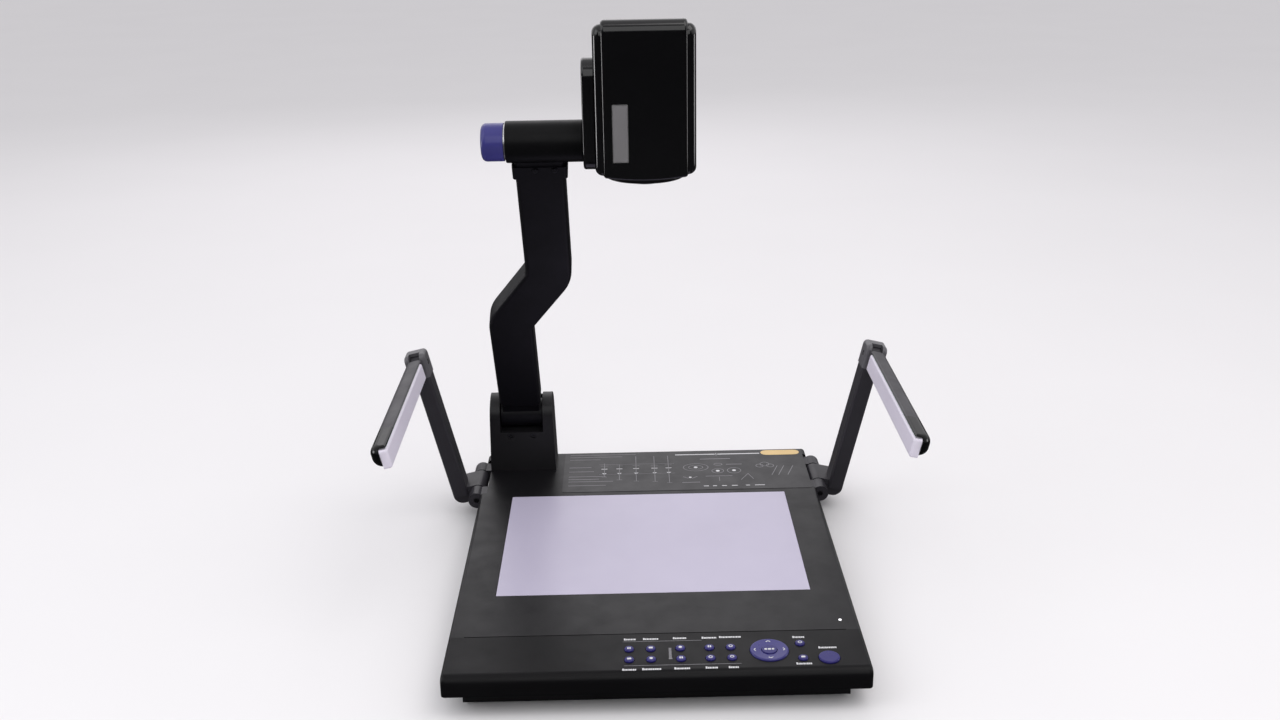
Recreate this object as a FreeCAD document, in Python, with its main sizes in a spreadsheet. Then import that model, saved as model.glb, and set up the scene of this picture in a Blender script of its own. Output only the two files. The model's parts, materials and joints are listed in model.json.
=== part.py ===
import FreeCAD, Part
import os
import re
import Sketcher
from FreeCAD import Placement, Rotation, Vector

# A desktop document camera: a flat base with a backlit stage and a row of keys, a camera head on
# a cranked arm that folds down from a column at the rear left, and a lamp on an arm at each side.
# The frame stands on the table: X to the right, Y to the rear, Z up, origin under the middle.

SIZES = {
    # base
    "base_width": 370,
    "base_depth": 460,
    "base_top": 40,
    "skirt_low": 21,
    "wall": 2.5,
    "corner_round": 4,
    "rim_round": 3,
    "front_round": 8,
    "brow_step": 7,
    "foot_high": 3,
    "foot_radius": 9,
    "foot_across": 148,
    "foot_along": 195,
    "tray_half": 169,
    "tray_front": 211,
    "tray_back": 220,
    "seam": 0.5,
    "crease_mid": -166.5,
    "crease_half": 171,
    "crease_wide": 1,
    "crease_deep": 0.8,
    # backlit stage
    "stage_width": 297,
    "stage_depth": 210,
    "stage_mid": 10,
    "stage_thick": 3,
    "guide_thick": 4,
    "guide_over": 2.5,
    "pan_over": 7.5,
    "pan_wall": 1.5,
    "strip_thick": 1.5,
    "fine_gap": 0.3,
    # printed label and status light
    "label_left": -95,
    "label_right": 180.5,
    "label_front": 123,
    "label_back": 225.5,
    "label_thick": 0.3,
    "status_across": 168,
    "status_along": -150,
    "status_radius": 1.4,
    # keys
    "key_low": 33,
    "key_top": 41.6,
    "key_radius": 4.3,
    "key_lip": 1,
    "key_flange": 2.5,
    "key_dome": 1.4,
    "key_gap": 0.4,
    "row_front": -207.7,
    "row_back": -191.3,
    "nav_across": 98.8,
    "nav_along": -197.5,
    "nav_radius": 17,
    "ok_radius": 6.8,
    "side_across": 126.7,
    "menu_along": -187.5,
    "source_along": -210.5,
    "power_across": 149.3,
    "power_along": -210.5,
    "power_radius": 9.3,
    # boards and sockets
    "board_thick": 1.6,
    "board_low": 7.5,
    "board_left": -60,
    "board_right": 140,
    "board_front": 130,
    "pads_low": 30,
    "pads_left": -36,
    "pads_right": 166,
    "pads_front": -222,
    "pads_back": -170,
    "post_radius": 3,
    "panel_low": 5.5,
    "panel_split": 74,
    "socket_deep": 14,
    "socket_wall": 0.8,
    "jack_radius": 1.75,
    "inlet_radius": 2.8,
    "inlet_pin": 0.8,
    # column and its hinge
    "column_mid": -141,
    "column_wide": 74,
    "column_narrow": 69.5,
    "column_front": 182,
    "column_back": 227,
    "column_top": 126,
    "cheek_round": 22.4,
    "slot_half": 24,
    "slot_floor": 87.5,
    "slot_back": 221,
    "hinge_along": 204,
    "hinge_high": 103.5,
    "pin_radius": 4,
    "fit": 0.05,
    "cover_thick": 2,
    # camera arm
    "arm_length": 396.9,
    "arm_lean": 29.27,
    "arm_half": 23,
    "arm_deep": 12,
    "arm_start": 22,
    "arm_shift": 44,
    "bend_start": 160.5,
    "bend_angle": 33,
    "bend_radius": 32,
    "arm_round": 4,
    "barrel_radius": 15.7,
    "neck_end": 48,
    "collar_start": 363,
    "collar_end": 377,
    "collar_wide": 25.5,
    "collar_deep": 13.3,
    "screw_radius": 2.6,
    "screw_high": 1.4,
    "shank_radius": 1.4,
    # tube across the top of the arm, and its knob
    "tube_radius": 19,
    "tube_left": -126.5,
    "tube_right": -56,
    "tube_bore": 15,
    "tube_wall": 8,
    "tilt_shaft": 8,
    "knob_shaft": 6,
    "knob_left": -148.5,
    "knob_right": -128,
    "knob_radius": 17.3,
    "knob_round": 5,
    # camera head, measured from the tube's axis
    "head_half": 45,
    "band_half": 37.5,
    "head_low": -29,
    "head_high": 112,
    "head_slope": 7.5,
    "shoulder_drop": 3.5,
    "shoulder_lift": 0.6,
    "shoulder_back": 2,
    "shoulder_round": 7,
    "brow_round": 10,
    "chin_round": 8.5,
    "belly_radius": 225,
    "band_round": 3,
    "plate_left": -55.5,
    "plate_half": 38,
    "plate_low": -21.5,
    "plate_high": 79.5,
    "plate_round": 16,
    "plate_rim": 2.5,
    "lens_half": 33,
    "lens_seat": 2.3,
    "lens_drop": 8.5,
    "lens_hole": 30,
    "ring_wide": 3,
    "ring_drop": 4.3,
    "ring_seat": 6.8,
    "camera_radius": 18,
    "camera_high": 45,
    "badge_left": -29,
    "badge_right": -15,
    "badge_low": -11.7,
    "badge_high": 39.3,
    "badge_thick": 0.8,
    # lamps, measured outward from the base hinge
    "lamp_across": 190,
    "lamp_high": 30,
    "lamp_lean": 13,
    "notch_across": 178,
    "notch_front": 126,
    "notch_back": 212,
    "lug_radius": 9,
    "lug_long": 20,
    "lug_end": 2,
    "lamp_pin": 3,
    "knuckle_front": 150,
    "knuckle_back": 188,
    "beam_near": 11.5,
    "beam_far": 28.5,
    "beam_front": 147.5,
    "beam_back": 172.5,
    "beam_top": 146,
    "beam_round": 3,
    "foot_round": 10,
    "pivot_out": 22.5,
    "pivot_up": 160,
    "pivot_along": 160,
    "yoke_half": 11.5,
    "yoke_back": 175,
    "yoke_top": 173,
    "yoke_round": 4,
    "yoke_crown": 7,
    "yoke_roof": 169.4,
    "slot_wide": 6,
    "tongue_half": 5.5,
    "tongue_radius": 9,
    "tongue_high": 6,
    "bar_half": 9,
    "bar_high": 10.5,
    "bar_back": -21,
    "bar_front": -250,
    "bar_round": 3,
    "back_round": 8.5,
    "nose_round": 14,
    "cap_long": 50,
    "glow_top": 7.5,
    "glow_low": -12,
    "glow_out": -1.5,
    "led_thick": 1.2,
}
KEY_COLUMNS = (-23.5, -4.5, 21.4, 46.9, 65.5)
# sockets on the rear panel: middle across, width and height of the metal shell
SOCKETS = {
    "monitor": (0, 18, 9.5),
    "digital": (-35, 15.5, 6.2),
    "serial": (34, 13.5, 6.4),
    "network": (60, 13, 10.4),
}
JACK_ACROSS = 84
INLET_ACROSS = 112
# the larger chips on the main board: near corner across and along, and width
CHIPS = ((0, 150, 20), (50, 145, 14), (90, 150, 12), (-40, 160, 10))
TURNS = {"x": Rotation(Vector(0, 1, 0), 90), "y": Rotation(Vector(1, 0, 0), -90), "z": Rotation()}
SIDES = {"left": -1, "right": 1}

doc = FreeCAD.newDocument("document_camera")
sheet = doc.addObject("Spreadsheet::Sheet", "Sizes")
for row, (alias, value) in enumerate(SIZES.items(), start=1):
    sheet.set(f"A{row}", alias)
    sheet.set(f"B{row}", str(value))
    sheet.setAlias(f"B{row}", alias)
doc.recompute()
nodes = []


def formula(text):
    """An expression of the sheet's cells, from a formula of their names."""
    def cell(word):
        return "Sizes." + word[0] if word[0] in SIZES else word[0]

    return re.sub(r"[a-z_]+", cell, str(text))


def number(text):
    """What a formula comes to."""
    return float(sheet.evalExpression(formula(text)))


def bind(thing, formulas):
    for path, text in formulas.items():
        thing.setExpression(path, formula(text))


def place(thing, across, along, up, axis=None, angle=0):
    """Stand a finished sub-part at a point, turned about an axis."""
    if axis:
        thing.Placement = Placement(Vector(), Rotation(axis, number(angle)))
    bind(thing, {"Placement.Base.x": across, "Placement.Base.y": along, "Placement.Base.z": up})


def keep(thing, name):
    """Take an object as one of the finished sub-parts."""
    thing.Label = name
    nodes.append(thing)
    return thing


# ---- simple solids -------------------------------------------------------------------------------

def block(name, low, high):
    """A box between two corners."""
    box = doc.addObject("Part::Box", name)
    spans = [f"({end}) - ({start})" for start, end in zip(low, high)]
    bind(box, dict(zip(("Length", "Width", "Height"), spans)))
    place(box, *low)
    return box


def sided(side, low, high):
    """The corners of a box given from the hinge outward, for the left or the right side."""
    if side > 0:
        return low, high
    return (f"-({high[0]})", low[1], low[2]), (f"-({low[0]})", high[1], high[2])


def rod(name, axis, radius, start, length):
    """A round rod that runs from its start along +X, +Y or +Z."""
    cylinder = doc.addObject("Part::Cylinder", name)
    cylinder.Placement = Placement(Vector(), TURNS[axis])
    bind(cylinder, {"Radius": radius, "Height": length})
    place(cylinder, *start)
    return cylinder


def join(name, *pieces):
    joined = doc.addObject("Part::MultiFuse", name)
    joined.Shapes = list(pieces)
    joined.Refine = True
    return joined


def group(name, *pieces):
    """Separate solids of one sub-part."""
    together = doc.addObject("Part::Compound", name)
    together.Links = list(pieces)
    return together


def cut(name, base, *tools):
    left = doc.addObject("Part::Cut", name)
    left.Base = base
    left.Tool = tools[0] if len(tools) == 1 else join(name + "_tools", *tools)
    return left


def lies(edge, **levels):
    """Whether an edge lies at one of the given levels, or within a pair of them, along each axis."""
    box = edge.BoundBox
    ends = {"x": (box.XMin, box.XMax), "y": (box.YMin, box.YMax), "z": (box.ZMin, box.ZMax)}

    def within(axis, choice):
        low, high = choice if isinstance(choice, tuple) else (choice, choice)
        return number(low) - 0.02 < ends[axis][0] and ends[axis][1] < number(high) + 0.02

    return all(any(within(axis, choice) for choice in choices) for axis, choices in levels.items())


def soften(name, base, *rounds):
    """Round edges of a box: each round is a radius and the levels its edges lie at."""
    doc.recompute()
    rounded = doc.addObject("Part::Fillet", name)
    rounded.Base = base
    edges = []
    for radius, levels in rounds:
        size = number(radius)
        found = [i for i, edge in enumerate(base.Shape.Edges, 1) if lies(edge, **levels)]
        edges += [(i, size, size) for i in found]
    rounded.Edges = edges
    return rounded


# ---- bodies made from sketches -------------------------------------------------------------------

def new_body(name):
    return doc.addObject("PartDesign::Body", name)


def new_sketch(body, name, role, offset=0):
    """A sketch on one of the body's origin planes, moved along the plane's normal."""
    sketch = body.newObject("Sketcher::SketchObject", name)
    plane = next(item for item in body.Origin.OriginFeatures if item.Role == role)
    sketch.AttachmentSupport = (plane, [""])
    sketch.MapMode = "FlatFace"
    bind(sketch, {"AttachmentOffset.Base.z": offset})
    return sketch


def pin_point(sketch, shape, point, position):
    """Tie a point of the sketch to the origin by two formulas."""
    for kind, text in zip(("DistanceX", "DistanceY"), position):
        index = sketch.addConstraint(Sketcher.Constraint(kind, -1, 1, shape, point, number(text)))
        sketch.setExpression(f"Constraints[{index}]", formula(text))


def outline(sketch, points):
    """A closed outline of straight lines through points given as formulas."""
    first = sketch.GeometryCount
    places = [Vector(number(across), number(up), 0) for across, up in points]
    count = len(points)
    for index in range(count):
        sketch.addGeometry(Part.LineSegment(places[index], places[(index + 1) % count]))
    for index in range(count):
        following = first + (index + 1) % count
        sketch.addConstraint(Sketcher.Constraint("Coincident", first + index, 2, following, 1))
    for index, point in enumerate(points):
        pin_point(sketch, first + index, 1, point)


def rectangle(sketch, low, high):
    outline(sketch, [low, (high[0], low[1]), high, (low[0], high[1])])


def circle(sketch, centre, radius):
    middle = Vector(number(centre[0]), number(centre[1]), 0)
    shape = sketch.addGeometry(Part.Circle(middle, Vector(0, 0, 1), number(radius)))
    pin_point(sketch, shape, 3, centre)
    index = sketch.addConstraint(Sketcher.Constraint("Radius", shape, number(radius)))
    sketch.setExpression(f"Constraints[{index}]", formula(radius))


def raise_from(body, name, sketch, length, backward=False):
    feature = body.newObject("PartDesign::Pad", name)
    feature.Profile = sketch
    feature.Reversed = backward
    bind(feature, {"Length": length})
    doc.recompute()
    return feature


def sink(body, name, sketch, length, forward=False):
    """Cut a sketch into the body; forward cuts along the sketch's normal."""
    before = body.Shape.Volume
    feature = body.newObject("PartDesign::Pocket", name)
    feature.Profile = sketch
    feature.Reversed = forward
    bind(feature, {"Length": length})
    doc.recompute()
    if not body.Shape.Volume < before:
        raise RuntimeError(f"{body.Name}: {name} cuts nothing")
    return feature


def round_off(body, name, radius, *places):
    """Round the edges of the body that lie at any of the given places."""
    base = body.Tip
    edges = []
    for i, edge in enumerate(base.Shape.Edges, 1):
        if any(lies(edge, **levels) for levels in places):
            edges.append(f"Edge{i}")
    feature = body.newObject("PartDesign::Fillet", name)
    feature.Base = (base, edges)
    bind(feature, {"Radius": radius})
    doc.recompute()
    return feature


def turned(name, profile):
    """A body turned about Z from a profile of radius and height."""
    body = new_body(name)
    sketch = new_sketch(body, name + "_profile", "XZ_Plane")
    outline(sketch, profile)
    feature = body.newObject("PartDesign::Revolution", name + "_turn")
    feature.Profile = sketch
    feature.ReferenceAxis = (sketch, ["V_Axis"])
    feature.Angle = 360
    doc.recompute()
    return body


# ---- base ----------------------------------------------------------------------------------------

KEYS = {f"shortcut_key_{i + 1}": (across, "row_back", "key_radius") for i, across in enumerate(KEY_COLUMNS)}
KEYS |= {f"shortcut_key_{i + 6}": (across, "row_front", "key_radius") for i, across in enumerate(KEY_COLUMNS)}
KEYS["menu_key"] = ("side_across", "menu_along", "key_radius")
KEYS["source_key"] = ("side_across", "source_along", "key_radius")
KEYS["power_key"] = ("power_across", "power_along", "power_radius")
FEET = [(f"{x} * foot_across", f"{y} * foot_along") for x in (-1, 1) for y in (-1, 1)]
TRAY_SCREWS = [(x, y) for x in (-120, 0, 120) for y in (-200, 200)]
COVER_SCREWS = ("column_mid - 12.8", "column_mid + 12.8")


def top_cover():
    body = new_body("top_cover")
    sketch = new_sketch(body, "cover_outline", "XY_Plane", "skirt_low")
    rectangle(sketch, ("-base_width / 2", "-base_depth / 2"), ("base_width / 2", "base_depth / 2"))
    raise_from(body, "cover_block", sketch, "base_top - skirt_low")
    sides = ("-base_width / 2", "base_width / 2")
    ends = ("-base_depth / 2", "base_depth / 2")
    round_off(body, "cover_brow", "front_round", {"y": (ends[0],), "z": ("base_top",)})
    rims = ({"x": sides, "y": ends}, {"x": sides, "z": ("base_top",)}, {"y": (ends[1],), "z": ("base_top",)})
    round_off(body, "cover_rim", "corner_round", *rims)
    sketch = new_sketch(body, "cover_inside", "XY_Plane", "skirt_low")
    inner = ("base_width / 2 - wall", "base_depth / 2 - wall")
    rectangle(sketch, (f"-({inner[0]})", f"-({inner[1]})"), inner)
    sink(body, "cover_hollow", sketch, "base_top - skirt_low - brow_step", forward=True)
    sketch = new_sketch(body, "cover_roof", "XY_Plane", "skirt_low")
    rectangle(sketch, (f"-({inner[0]})", "brow_step - base_depth / 2"), inner)
    sink(body, "cover_hollow_top", sketch, "base_top - skirt_low - wall", forward=True)
    sketch = new_sketch(body, "window_outline", "XY_Plane", "base_top")
    half = ("stage_width / 2 + fine_gap", "stage_depth / 2 + fine_gap")
    rectangle(sketch, (f"-({half[0]})", f"stage_mid - ({half[1]})"), (half[0], f"stage_mid + {half[1]}"))
    sink(body, "window", sketch, "wall")
    sketch = new_sketch(body, "key_holes", "XY_Plane", "base_top")
    for across, along, radius in KEYS.values():
        circle(sketch, (across, along), f"{radius} + key_gap")
    circle(sketch, ("nav_across", "nav_along"), "nav_radius + key_gap")
    circle(sketch, ("status_across", "status_along"), "status_radius + fine_gap")
    sink(body, "key_openings", sketch, "wall")
    sketch = new_sketch(body, "crease_line", "XY_Plane", "base_top")
    rectangle(sketch, ("-crease_half", "crease_mid"), ("crease_half", "crease_mid + crease_wide"))
    sink(body, "crease", sketch, "crease_deep")
    sketch = new_sketch(body, "hinge_notches", "XY_Plane", "base_top")
    for low, high in (("-base_width", "-notch_across"), ("notch_across", "base_width")):
        rectangle(sketch, (low, "notch_front"), (high, "notch_back"))
    sink(body, "notches", sketch, "base_top")
    sketch = new_sketch(body, "pad_posts", "XY_Plane", "base_top - wall")
    for across in ("pads_left + 4", "pads_right - 4"):
        for along in ("pads_back - 6", "pads_back - 26"):
            circle(sketch, (across, along), "post_radius")
    raise_from(body, "hanging_posts", sketch, "base_top - wall - pads_low - board_thick", backward=True)
    keep(body, "top_cover")


def bottom_tray():
    body = new_body("bottom_tray")
    sketch = new_sketch(body, "tray_outline", "XY_Plane", "foot_high")
    rectangle(sketch, ("-tray_half", "-tray_front"), ("tray_half", "tray_back"))
    raise_from(body, "tray_block", sketch, "skirt_low - foot_high")
    sketch = new_sketch(body, "flange_outline", "XY_Plane", "skirt_low")
    edge = ("base_width / 2 - wall - seam", "base_depth / 2 - wall - seam")
    rectangle(sketch, (f"-({edge[0]})", f"-({edge[1]})"), edge)
    raise_from(body, "flange", sketch, "wall")
    sketch = new_sketch(body, "flange_notches", "XY_Plane", "skirt_low + wall")
    for low, high in (("-base_width", "-notch_across"), ("notch_across", "base_width")):
        rectangle(sketch, (low, "notch_front"), (high, "notch_back"))
    sink(body, "flange_cut", sketch, "wall")
    sketch = new_sketch(body, "tray_inside", "XY_Plane", "skirt_low + wall")
    low = ("-(tray_half - wall)", "-(tray_front - wall)")
    rectangle(sketch, low, ("tray_half - wall", "tray_back - wall"))
    sink(body, "tray_hollow", sketch, "skirt_low - foot_high")
    sketch = new_sketch(body, "board_posts", "XY_Plane", "foot_high + wall")
    for across in ("board_left + 8", "board_right - 8"):
        for along in ("board_front + 8", "tray_back - wall - 20"):
            circle(sketch, (across, along), "post_radius")
    raise_from(body, "low_posts", sketch, "board_low - foot_high - wall")
    sketch = new_sketch(body, "screw_holes", "XY_Plane", "foot_high + wall")
    for position in TRAY_SCREWS:
        circle(sketch, position, "shank_radius + fine_gap")
    sink(body, "screw_cuts", sketch, "wall")
    sketch = new_sketch(body, "panel_window", "XZ_Plane", "-tray_back")
    rectangle(sketch, ("wall - tray_half", "panel_low"), ("tray_half - wall", "skirt_low"))
    sink(body, "panel_cut", sketch, "wall", forward=True)
    keep(body, "bottom_tray")


def rear_panel():
    """Three plates side by side: a blank one, one for the signals and one for sound and power."""
    floor = "board_low + board_thick"
    inside = "tray_back - wall - 1"
    windows = []
    for name, (middle, width, height) in SOCKETS.items():
        low = (f"{middle} - {width / 2} - 0.2", inside, f"{floor} - 0.2")
        high = (f"{middle} + {width / 2} + 0.2", "tray_back + 1", f"{floor} + {height} + 0.1")
        windows.append(block(name + "_window", low, high))
    rounds = [
        rod("jack_window", "y", "jack_radius + 1.6", (JACK_ACROSS, inside, f"{floor} + 4"), "wall + 2"),
        rod("inlet_window", "y", "inlet_radius + 1.7", (INLET_ACROSS, inside, f"{floor} + 5"), "wall + 2"),
    ]
    ends = ("wall - tray_half", "board_left", "panel_split", "tray_half - wall")
    plates = []
    for i, tools in enumerate(([], windows, rounds)):
        low = (f"{ends[i]} + fine_gap / 2", "tray_back - wall", "panel_low + fine_gap")
        high = (f"{ends[i + 1]} - fine_gap / 2", "tray_back", "skirt_low - fine_gap")
        plate = block(f"rear_plate_{i}", low, high)
        plates.append(cut(f"rear_plate_{i}_cut", plate, *tools) if tools else plate)
    keep(group("rear_panel", *plates), "rear_panel")


def sockets():
    floor = "board_low + board_thick"
    shells = []
    for name, (middle, width, height) in SOCKETS.items():
        half = width / 2
        low = (f"{middle} - {half}", "tray_back - socket_deep", floor)
        shell = block(name + "_shell", low, (f"{middle} + {half}", "tray_back", f"{floor} + {height}"))
        inner = (f"{middle} - {half} + socket_wall", "tray_back - socket_deep + 3", f"{floor} + socket_wall")
        mouth = (f"{middle} + {half} - socket_wall", "tray_back + 1", f"{floor} + {height} - socket_wall")
        shells.append(cut(name + "_socket", shell, block(name + "_mouth", inner, mouth)))
    inside = "tray_back - wall - 10"
    low = (JACK_ACROSS - 4, inside, floor)
    body = block("jack_block", low, (JACK_ACROSS + 4, "tray_back - wall", f"{floor} + 8"))
    collar = rod("jack_collar", "y", "jack_radius + 1.4", (JACK_ACROSS, inside, f"{floor} + 4"), "wall + 10")
    bore = rod("jack_bore", "y", "jack_radius", (JACK_ACROSS, "tray_back - 11", f"{floor} + 4"), 14)
    keep(cut("audio_jack", join("jack_outside", body, collar), bore), "audio_jack")
    low = (INLET_ACROSS - 5, inside, floor)
    body = block("inlet_block", low, (INLET_ACROSS + 5, "tray_back - wall", f"{floor} + 10"))
    start = (INLET_ACROSS, inside, f"{floor} + 5")
    collar = rod("inlet_collar", "y", "inlet_radius + 1.5", start, "wall + 10")
    bore = rod("inlet_bore", "y", "inlet_radius", (INLET_ACROSS, "tray_back - 10", f"{floor} + 5"), 14)
    pin = rod("inlet_pin_rod", "y", "inlet_pin", (INLET_ACROSS, "tray_back - 10", f"{floor} + 5"), 8)
    shells += [cut("power_inlet", join("inlet_body", body, collar), bore), pin]
    keep(group("rear_sockets", *shells), "rear_sockets")


def stage():
    low = ("-stage_width / 2", "stage_mid - stage_depth / 2", "base_top - stage_thick")
    high = ("stage_width / 2", "stage_mid + stage_depth / 2", "base_top")
    panel = soften("stage_panel", block("stage_sheet", low, high), ("fine_gap", {"z": ("base_top",)}))
    keep(panel, "stage_panel")
    half = ("stage_width / 2 + guide_over", "stage_depth / 2 + guide_over")
    floor = "base_top - stage_thick - guide_thick"
    low = (f"-({half[0]})", f"stage_mid - ({half[1]})", floor)
    high = (half[0], f"stage_mid + {half[1]}", "base_top - stage_thick")
    keep(block("light_guide", low, high), "light_guide")
    half = ("stage_width / 2 + pan_over", "stage_depth / 2 + pan_over")
    low = (f"-({half[0]})", f"stage_mid - ({half[1]})", f"{floor} - pan_wall")
    outside = block("pan_outside", low, (half[0], f"stage_mid + {half[1]}", "base_top - wall - 0.1"))
    low = (f"-({half[0]} - pan_wall)", f"stage_mid - ({half[1]} - pan_wall)", floor)
    high = (f"{half[0]} - pan_wall", f"stage_mid + {half[1]} - pan_wall", "base_top")
    inside = block("pan_inside", low, high)
    keep(cut("light_pan", outside, inside), "light_pan")
    strips = []
    for name, side in SIDES.items():
        near = "stage_width / 2 + pan_over - pan_wall - strip_thick"
        low = (near, "stage_mid - stage_depth / 2", floor)
        high = (f"{near} + strip_thick", "stage_mid + stage_depth / 2", "base_top - stage_thick")
        strips.append(block(f"{name}_strip", *sided(side, low, high)))
    keep(group("light_strips", *strips), "light_strips")


def boards():
    top = "board_low + board_thick"
    low = ("board_left + 1", "board_front", "board_low")
    plate = block("board_plate", low, ("board_right - 1", "tray_back - wall - 0.5", top))
    chips = [
        block(f"chip_{i}", (across, along, top), (across + size, along + size, f"{top} + 2"))
        for i, (across, along, size) in enumerate(CHIPS)
    ]
    main_board = join("main_board", plate, *chips)
    low = ("pads_left", "pads_front", "pads_low")
    key_board = block("key_board", low, ("pads_right", "pads_back", "pads_low + board_thick"))
    keep(group("circuit_boards", main_board, key_board), "circuit_boards")


def base_fittings():
    feet = [rod(f"foot_{i}", "z", "foot_radius", (x, y, 0), "foot_high") for i, (x, y) in enumerate(FEET)]
    keep(group("rubber_feet", *feet), "rubber_feet")
    screws = []
    for i, (across, along) in enumerate(TRAY_SCREWS):
        start = (across, along, "foot_high - screw_high")
        head = rod(f"tray_head_{i}", "z", "screw_radius", start, "screw_high")
        shank = rod(f"tray_shank_{i}", "z", "shank_radius", start, 5.5)
        screws.append(join(f"tray_screw_{i}", head, shank))
    for i, across in enumerate(COVER_SCREWS):
        start = (across, "column_front + 1.5", "slot_floor - 4.5")
        screws.append(rod(f"column_head_{i}", "y", "screw_radius", start, "screw_high"))
    keep(group("case_screws", *screws), "case_screws")
    low = ("label_left", "label_front", "base_top")
    label = block("label_sheet", low, ("label_right", "label_back", "base_top + label_thick"))
    corners = {"x": ("label_left", "label_right"), "y": ("label_front", "label_back")}
    keep(soften("instruction_label", label, ("rim_round", corners)), "instruction_label")
    start = ("status_across", "status_along", "base_top - wall")
    keep(rod("status_lens", "z", "status_radius", start, "wall + fine_gap"), "status_lens")


def keys():
    low = "key_low"
    step = "key_low + key_flange"
    for name, (across, along, radius) in KEYS.items():
        rim = f"{radius} + key_lip"
        profile = [(0, low), (rim, low), (rim, step), (radius, step), (radius, "key_top"), (0, "key_top")]
        key = turned(name, profile)
        round_off(key, name + "_dome", "key_dome", {"z": ("key_top",)})
        place(key, across, along, 0)
        keep(key, name)
    inner = "ok_radius + key_gap"
    rim = "nav_radius + key_lip"
    profile = [(inner, low), (rim, low), (rim, step), ("nav_radius", step), ("nav_radius", "key_top")]
    ring = turned("direction_ring", profile + [(inner, "key_top - 0.8")])
    round_off(ring, "ring_edge", "key_dome", {"z": ("key_top",)})
    place(ring, "nav_across", "nav_along", 0)
    keep(ring, "direction_ring")
    key = turned("ok_key", [(0, low), ("ok_radius", low), ("ok_radius", "key_top"), (0, "key_top")])
    round_off(key, "ok_edge", "key_dome / 2", {"z": ("key_top",)})
    place(key, "nav_across", "nav_along", 0)
    keep(key, "ok_key")


# ---- column --------------------------------------------------------------------------------------

def column():
    body = new_body("column_shell")
    sketch = new_sketch(body, "column_face", "XZ_Plane", "-column_back")
    foot = "column_wide / 2"
    head = "column_narrow / 2"
    corners = [(f"column_mid - {foot}", "base_top"), (f"column_mid + {foot}", "base_top")]
    corners += [(f"column_mid + {head}", "column_top"), (f"column_mid - {head}", "column_top")]
    outline(sketch, corners)
    raise_from(body, "column_block", sketch, "column_back - column_front")
    round_off(body, "cheeks", "cheek_round", {"z": ("column_top",), "y": ("column_front", "column_back")})
    sketch = new_sketch(body, "slot_outline", "XZ_Plane", "-column_front")
    rectangle(sketch, ("column_mid - slot_half", "slot_floor"), ("column_mid + slot_half", "column_top + 1"))
    sink(body, "slot", sketch, "slot_back - column_front")
    sketch = new_sketch(body, "column_inside", "XY_Plane", "base_top")
    low = ("column_mid - column_wide / 2 + 5", "column_front + 5")
    rectangle(sketch, low, ("column_mid + column_wide / 2 - 5", "column_back - 4"))
    sink(body, "column_hollow", sketch, "slot_floor - base_top - 10", forward=True)
    sketch = new_sketch(body, "pin_holes", "YZ_Plane", "column_mid - slot_half - 9")
    circle(sketch, ("hinge_along", "hinge_high"), "pin_radius + fit")
    sink(body, "pin_bore", sketch, "2 * slot_half + 18", forward=True)
    sketch = new_sketch(body, "front_recesses", "XZ_Plane", "-column_front")
    for across in COVER_SCREWS:
        circle(sketch, (across, "slot_floor - 4.5"), "screw_radius + fine_gap")
    sink(body, "recesses", sketch, "1.5 + screw_high")
    keep(body, "column_shell")
    low = ("column_mid - 30", "column_back", "base_top + 5")
    high = ("column_mid + 30", "column_back + cover_thick", "column_top - cheek_round - 3")
    plate = block("column_plate", low, high)
    sides = {"x": (low[0], high[0]), "z": (low[2], high[2])}
    keep(soften("column_rear_cover", plate, ("rim_round", sides)), "column_rear_cover")
    start = ("column_mid - slot_half - 8.5", "hinge_along", "hinge_high")
    keep(rod("arm_hinge_pin", "x", "pin_radius", start, "2 * slot_half + 17"), "arm_hinge_pin")


# ---- camera arm ----------------------------------------------------------------------------------

def on_arm(thing):
    place(thing, "column_mid", "hinge_along", "hinge_high", Vector(1, 0, 0), "arm_lean")


def cranked(sketch, inset, start, end, ease=None):
    """The arm's face: a strip that steps to the right, with its outer corners sharp or cut back by ease."""
    half = f"(arm_half - {inset})"
    lag = f"{half} * tan(bend_angle / 2)"
    upper = "bend_start + arm_shift / tan(bend_angle)"
    right = [(f"arm_shift + {half}", f"{upper} - {lag}")]
    left = [(f"-{half}", f"bend_start + {lag}")]
    if ease:
        aside, along = f"{ease} * sin(bend_angle)", f"{ease} * cos(bend_angle)"
        across, up = right[0]
        right = [(f"{across} - {aside}", f"{up} - {along}"), (across, f"{up} + {ease}")]
        across, up = left[0]
        left = [(f"{across} + {aside}", f"{up} + {along}"), (across, f"{up} - {ease}")]
    outline(sketch, [
        (f"-{half}", start),
        (half, start),
        (half, f"bend_start - {lag}"),
        *right,
        (f"arm_shift + {half}", end),
        (f"arm_shift - {half}", end),
        (f"arm_shift - {half}", f"{upper} + {lag}"),
        *left,
    ])


def bend_places():
    """Where the outer and the inner edges of the two bends lie."""
    lag = "arm_half * tan(bend_angle / 2)"
    upper = "bend_start + arm_shift / tan(bend_angle)"
    outer = [
        {"x": ("-arm_half",), "z": (f"bend_start + {lag}",)},
        {"x": ("arm_shift + arm_half",), "z": (f"{upper} - {lag}",)},
    ]
    inner = [
        {"x": ("arm_half",), "z": (f"bend_start - {lag}",)},
        {"x": ("arm_shift - arm_half",), "z": (f"{upper} + {lag}",)},
    ]
    return outer, inner


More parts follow.
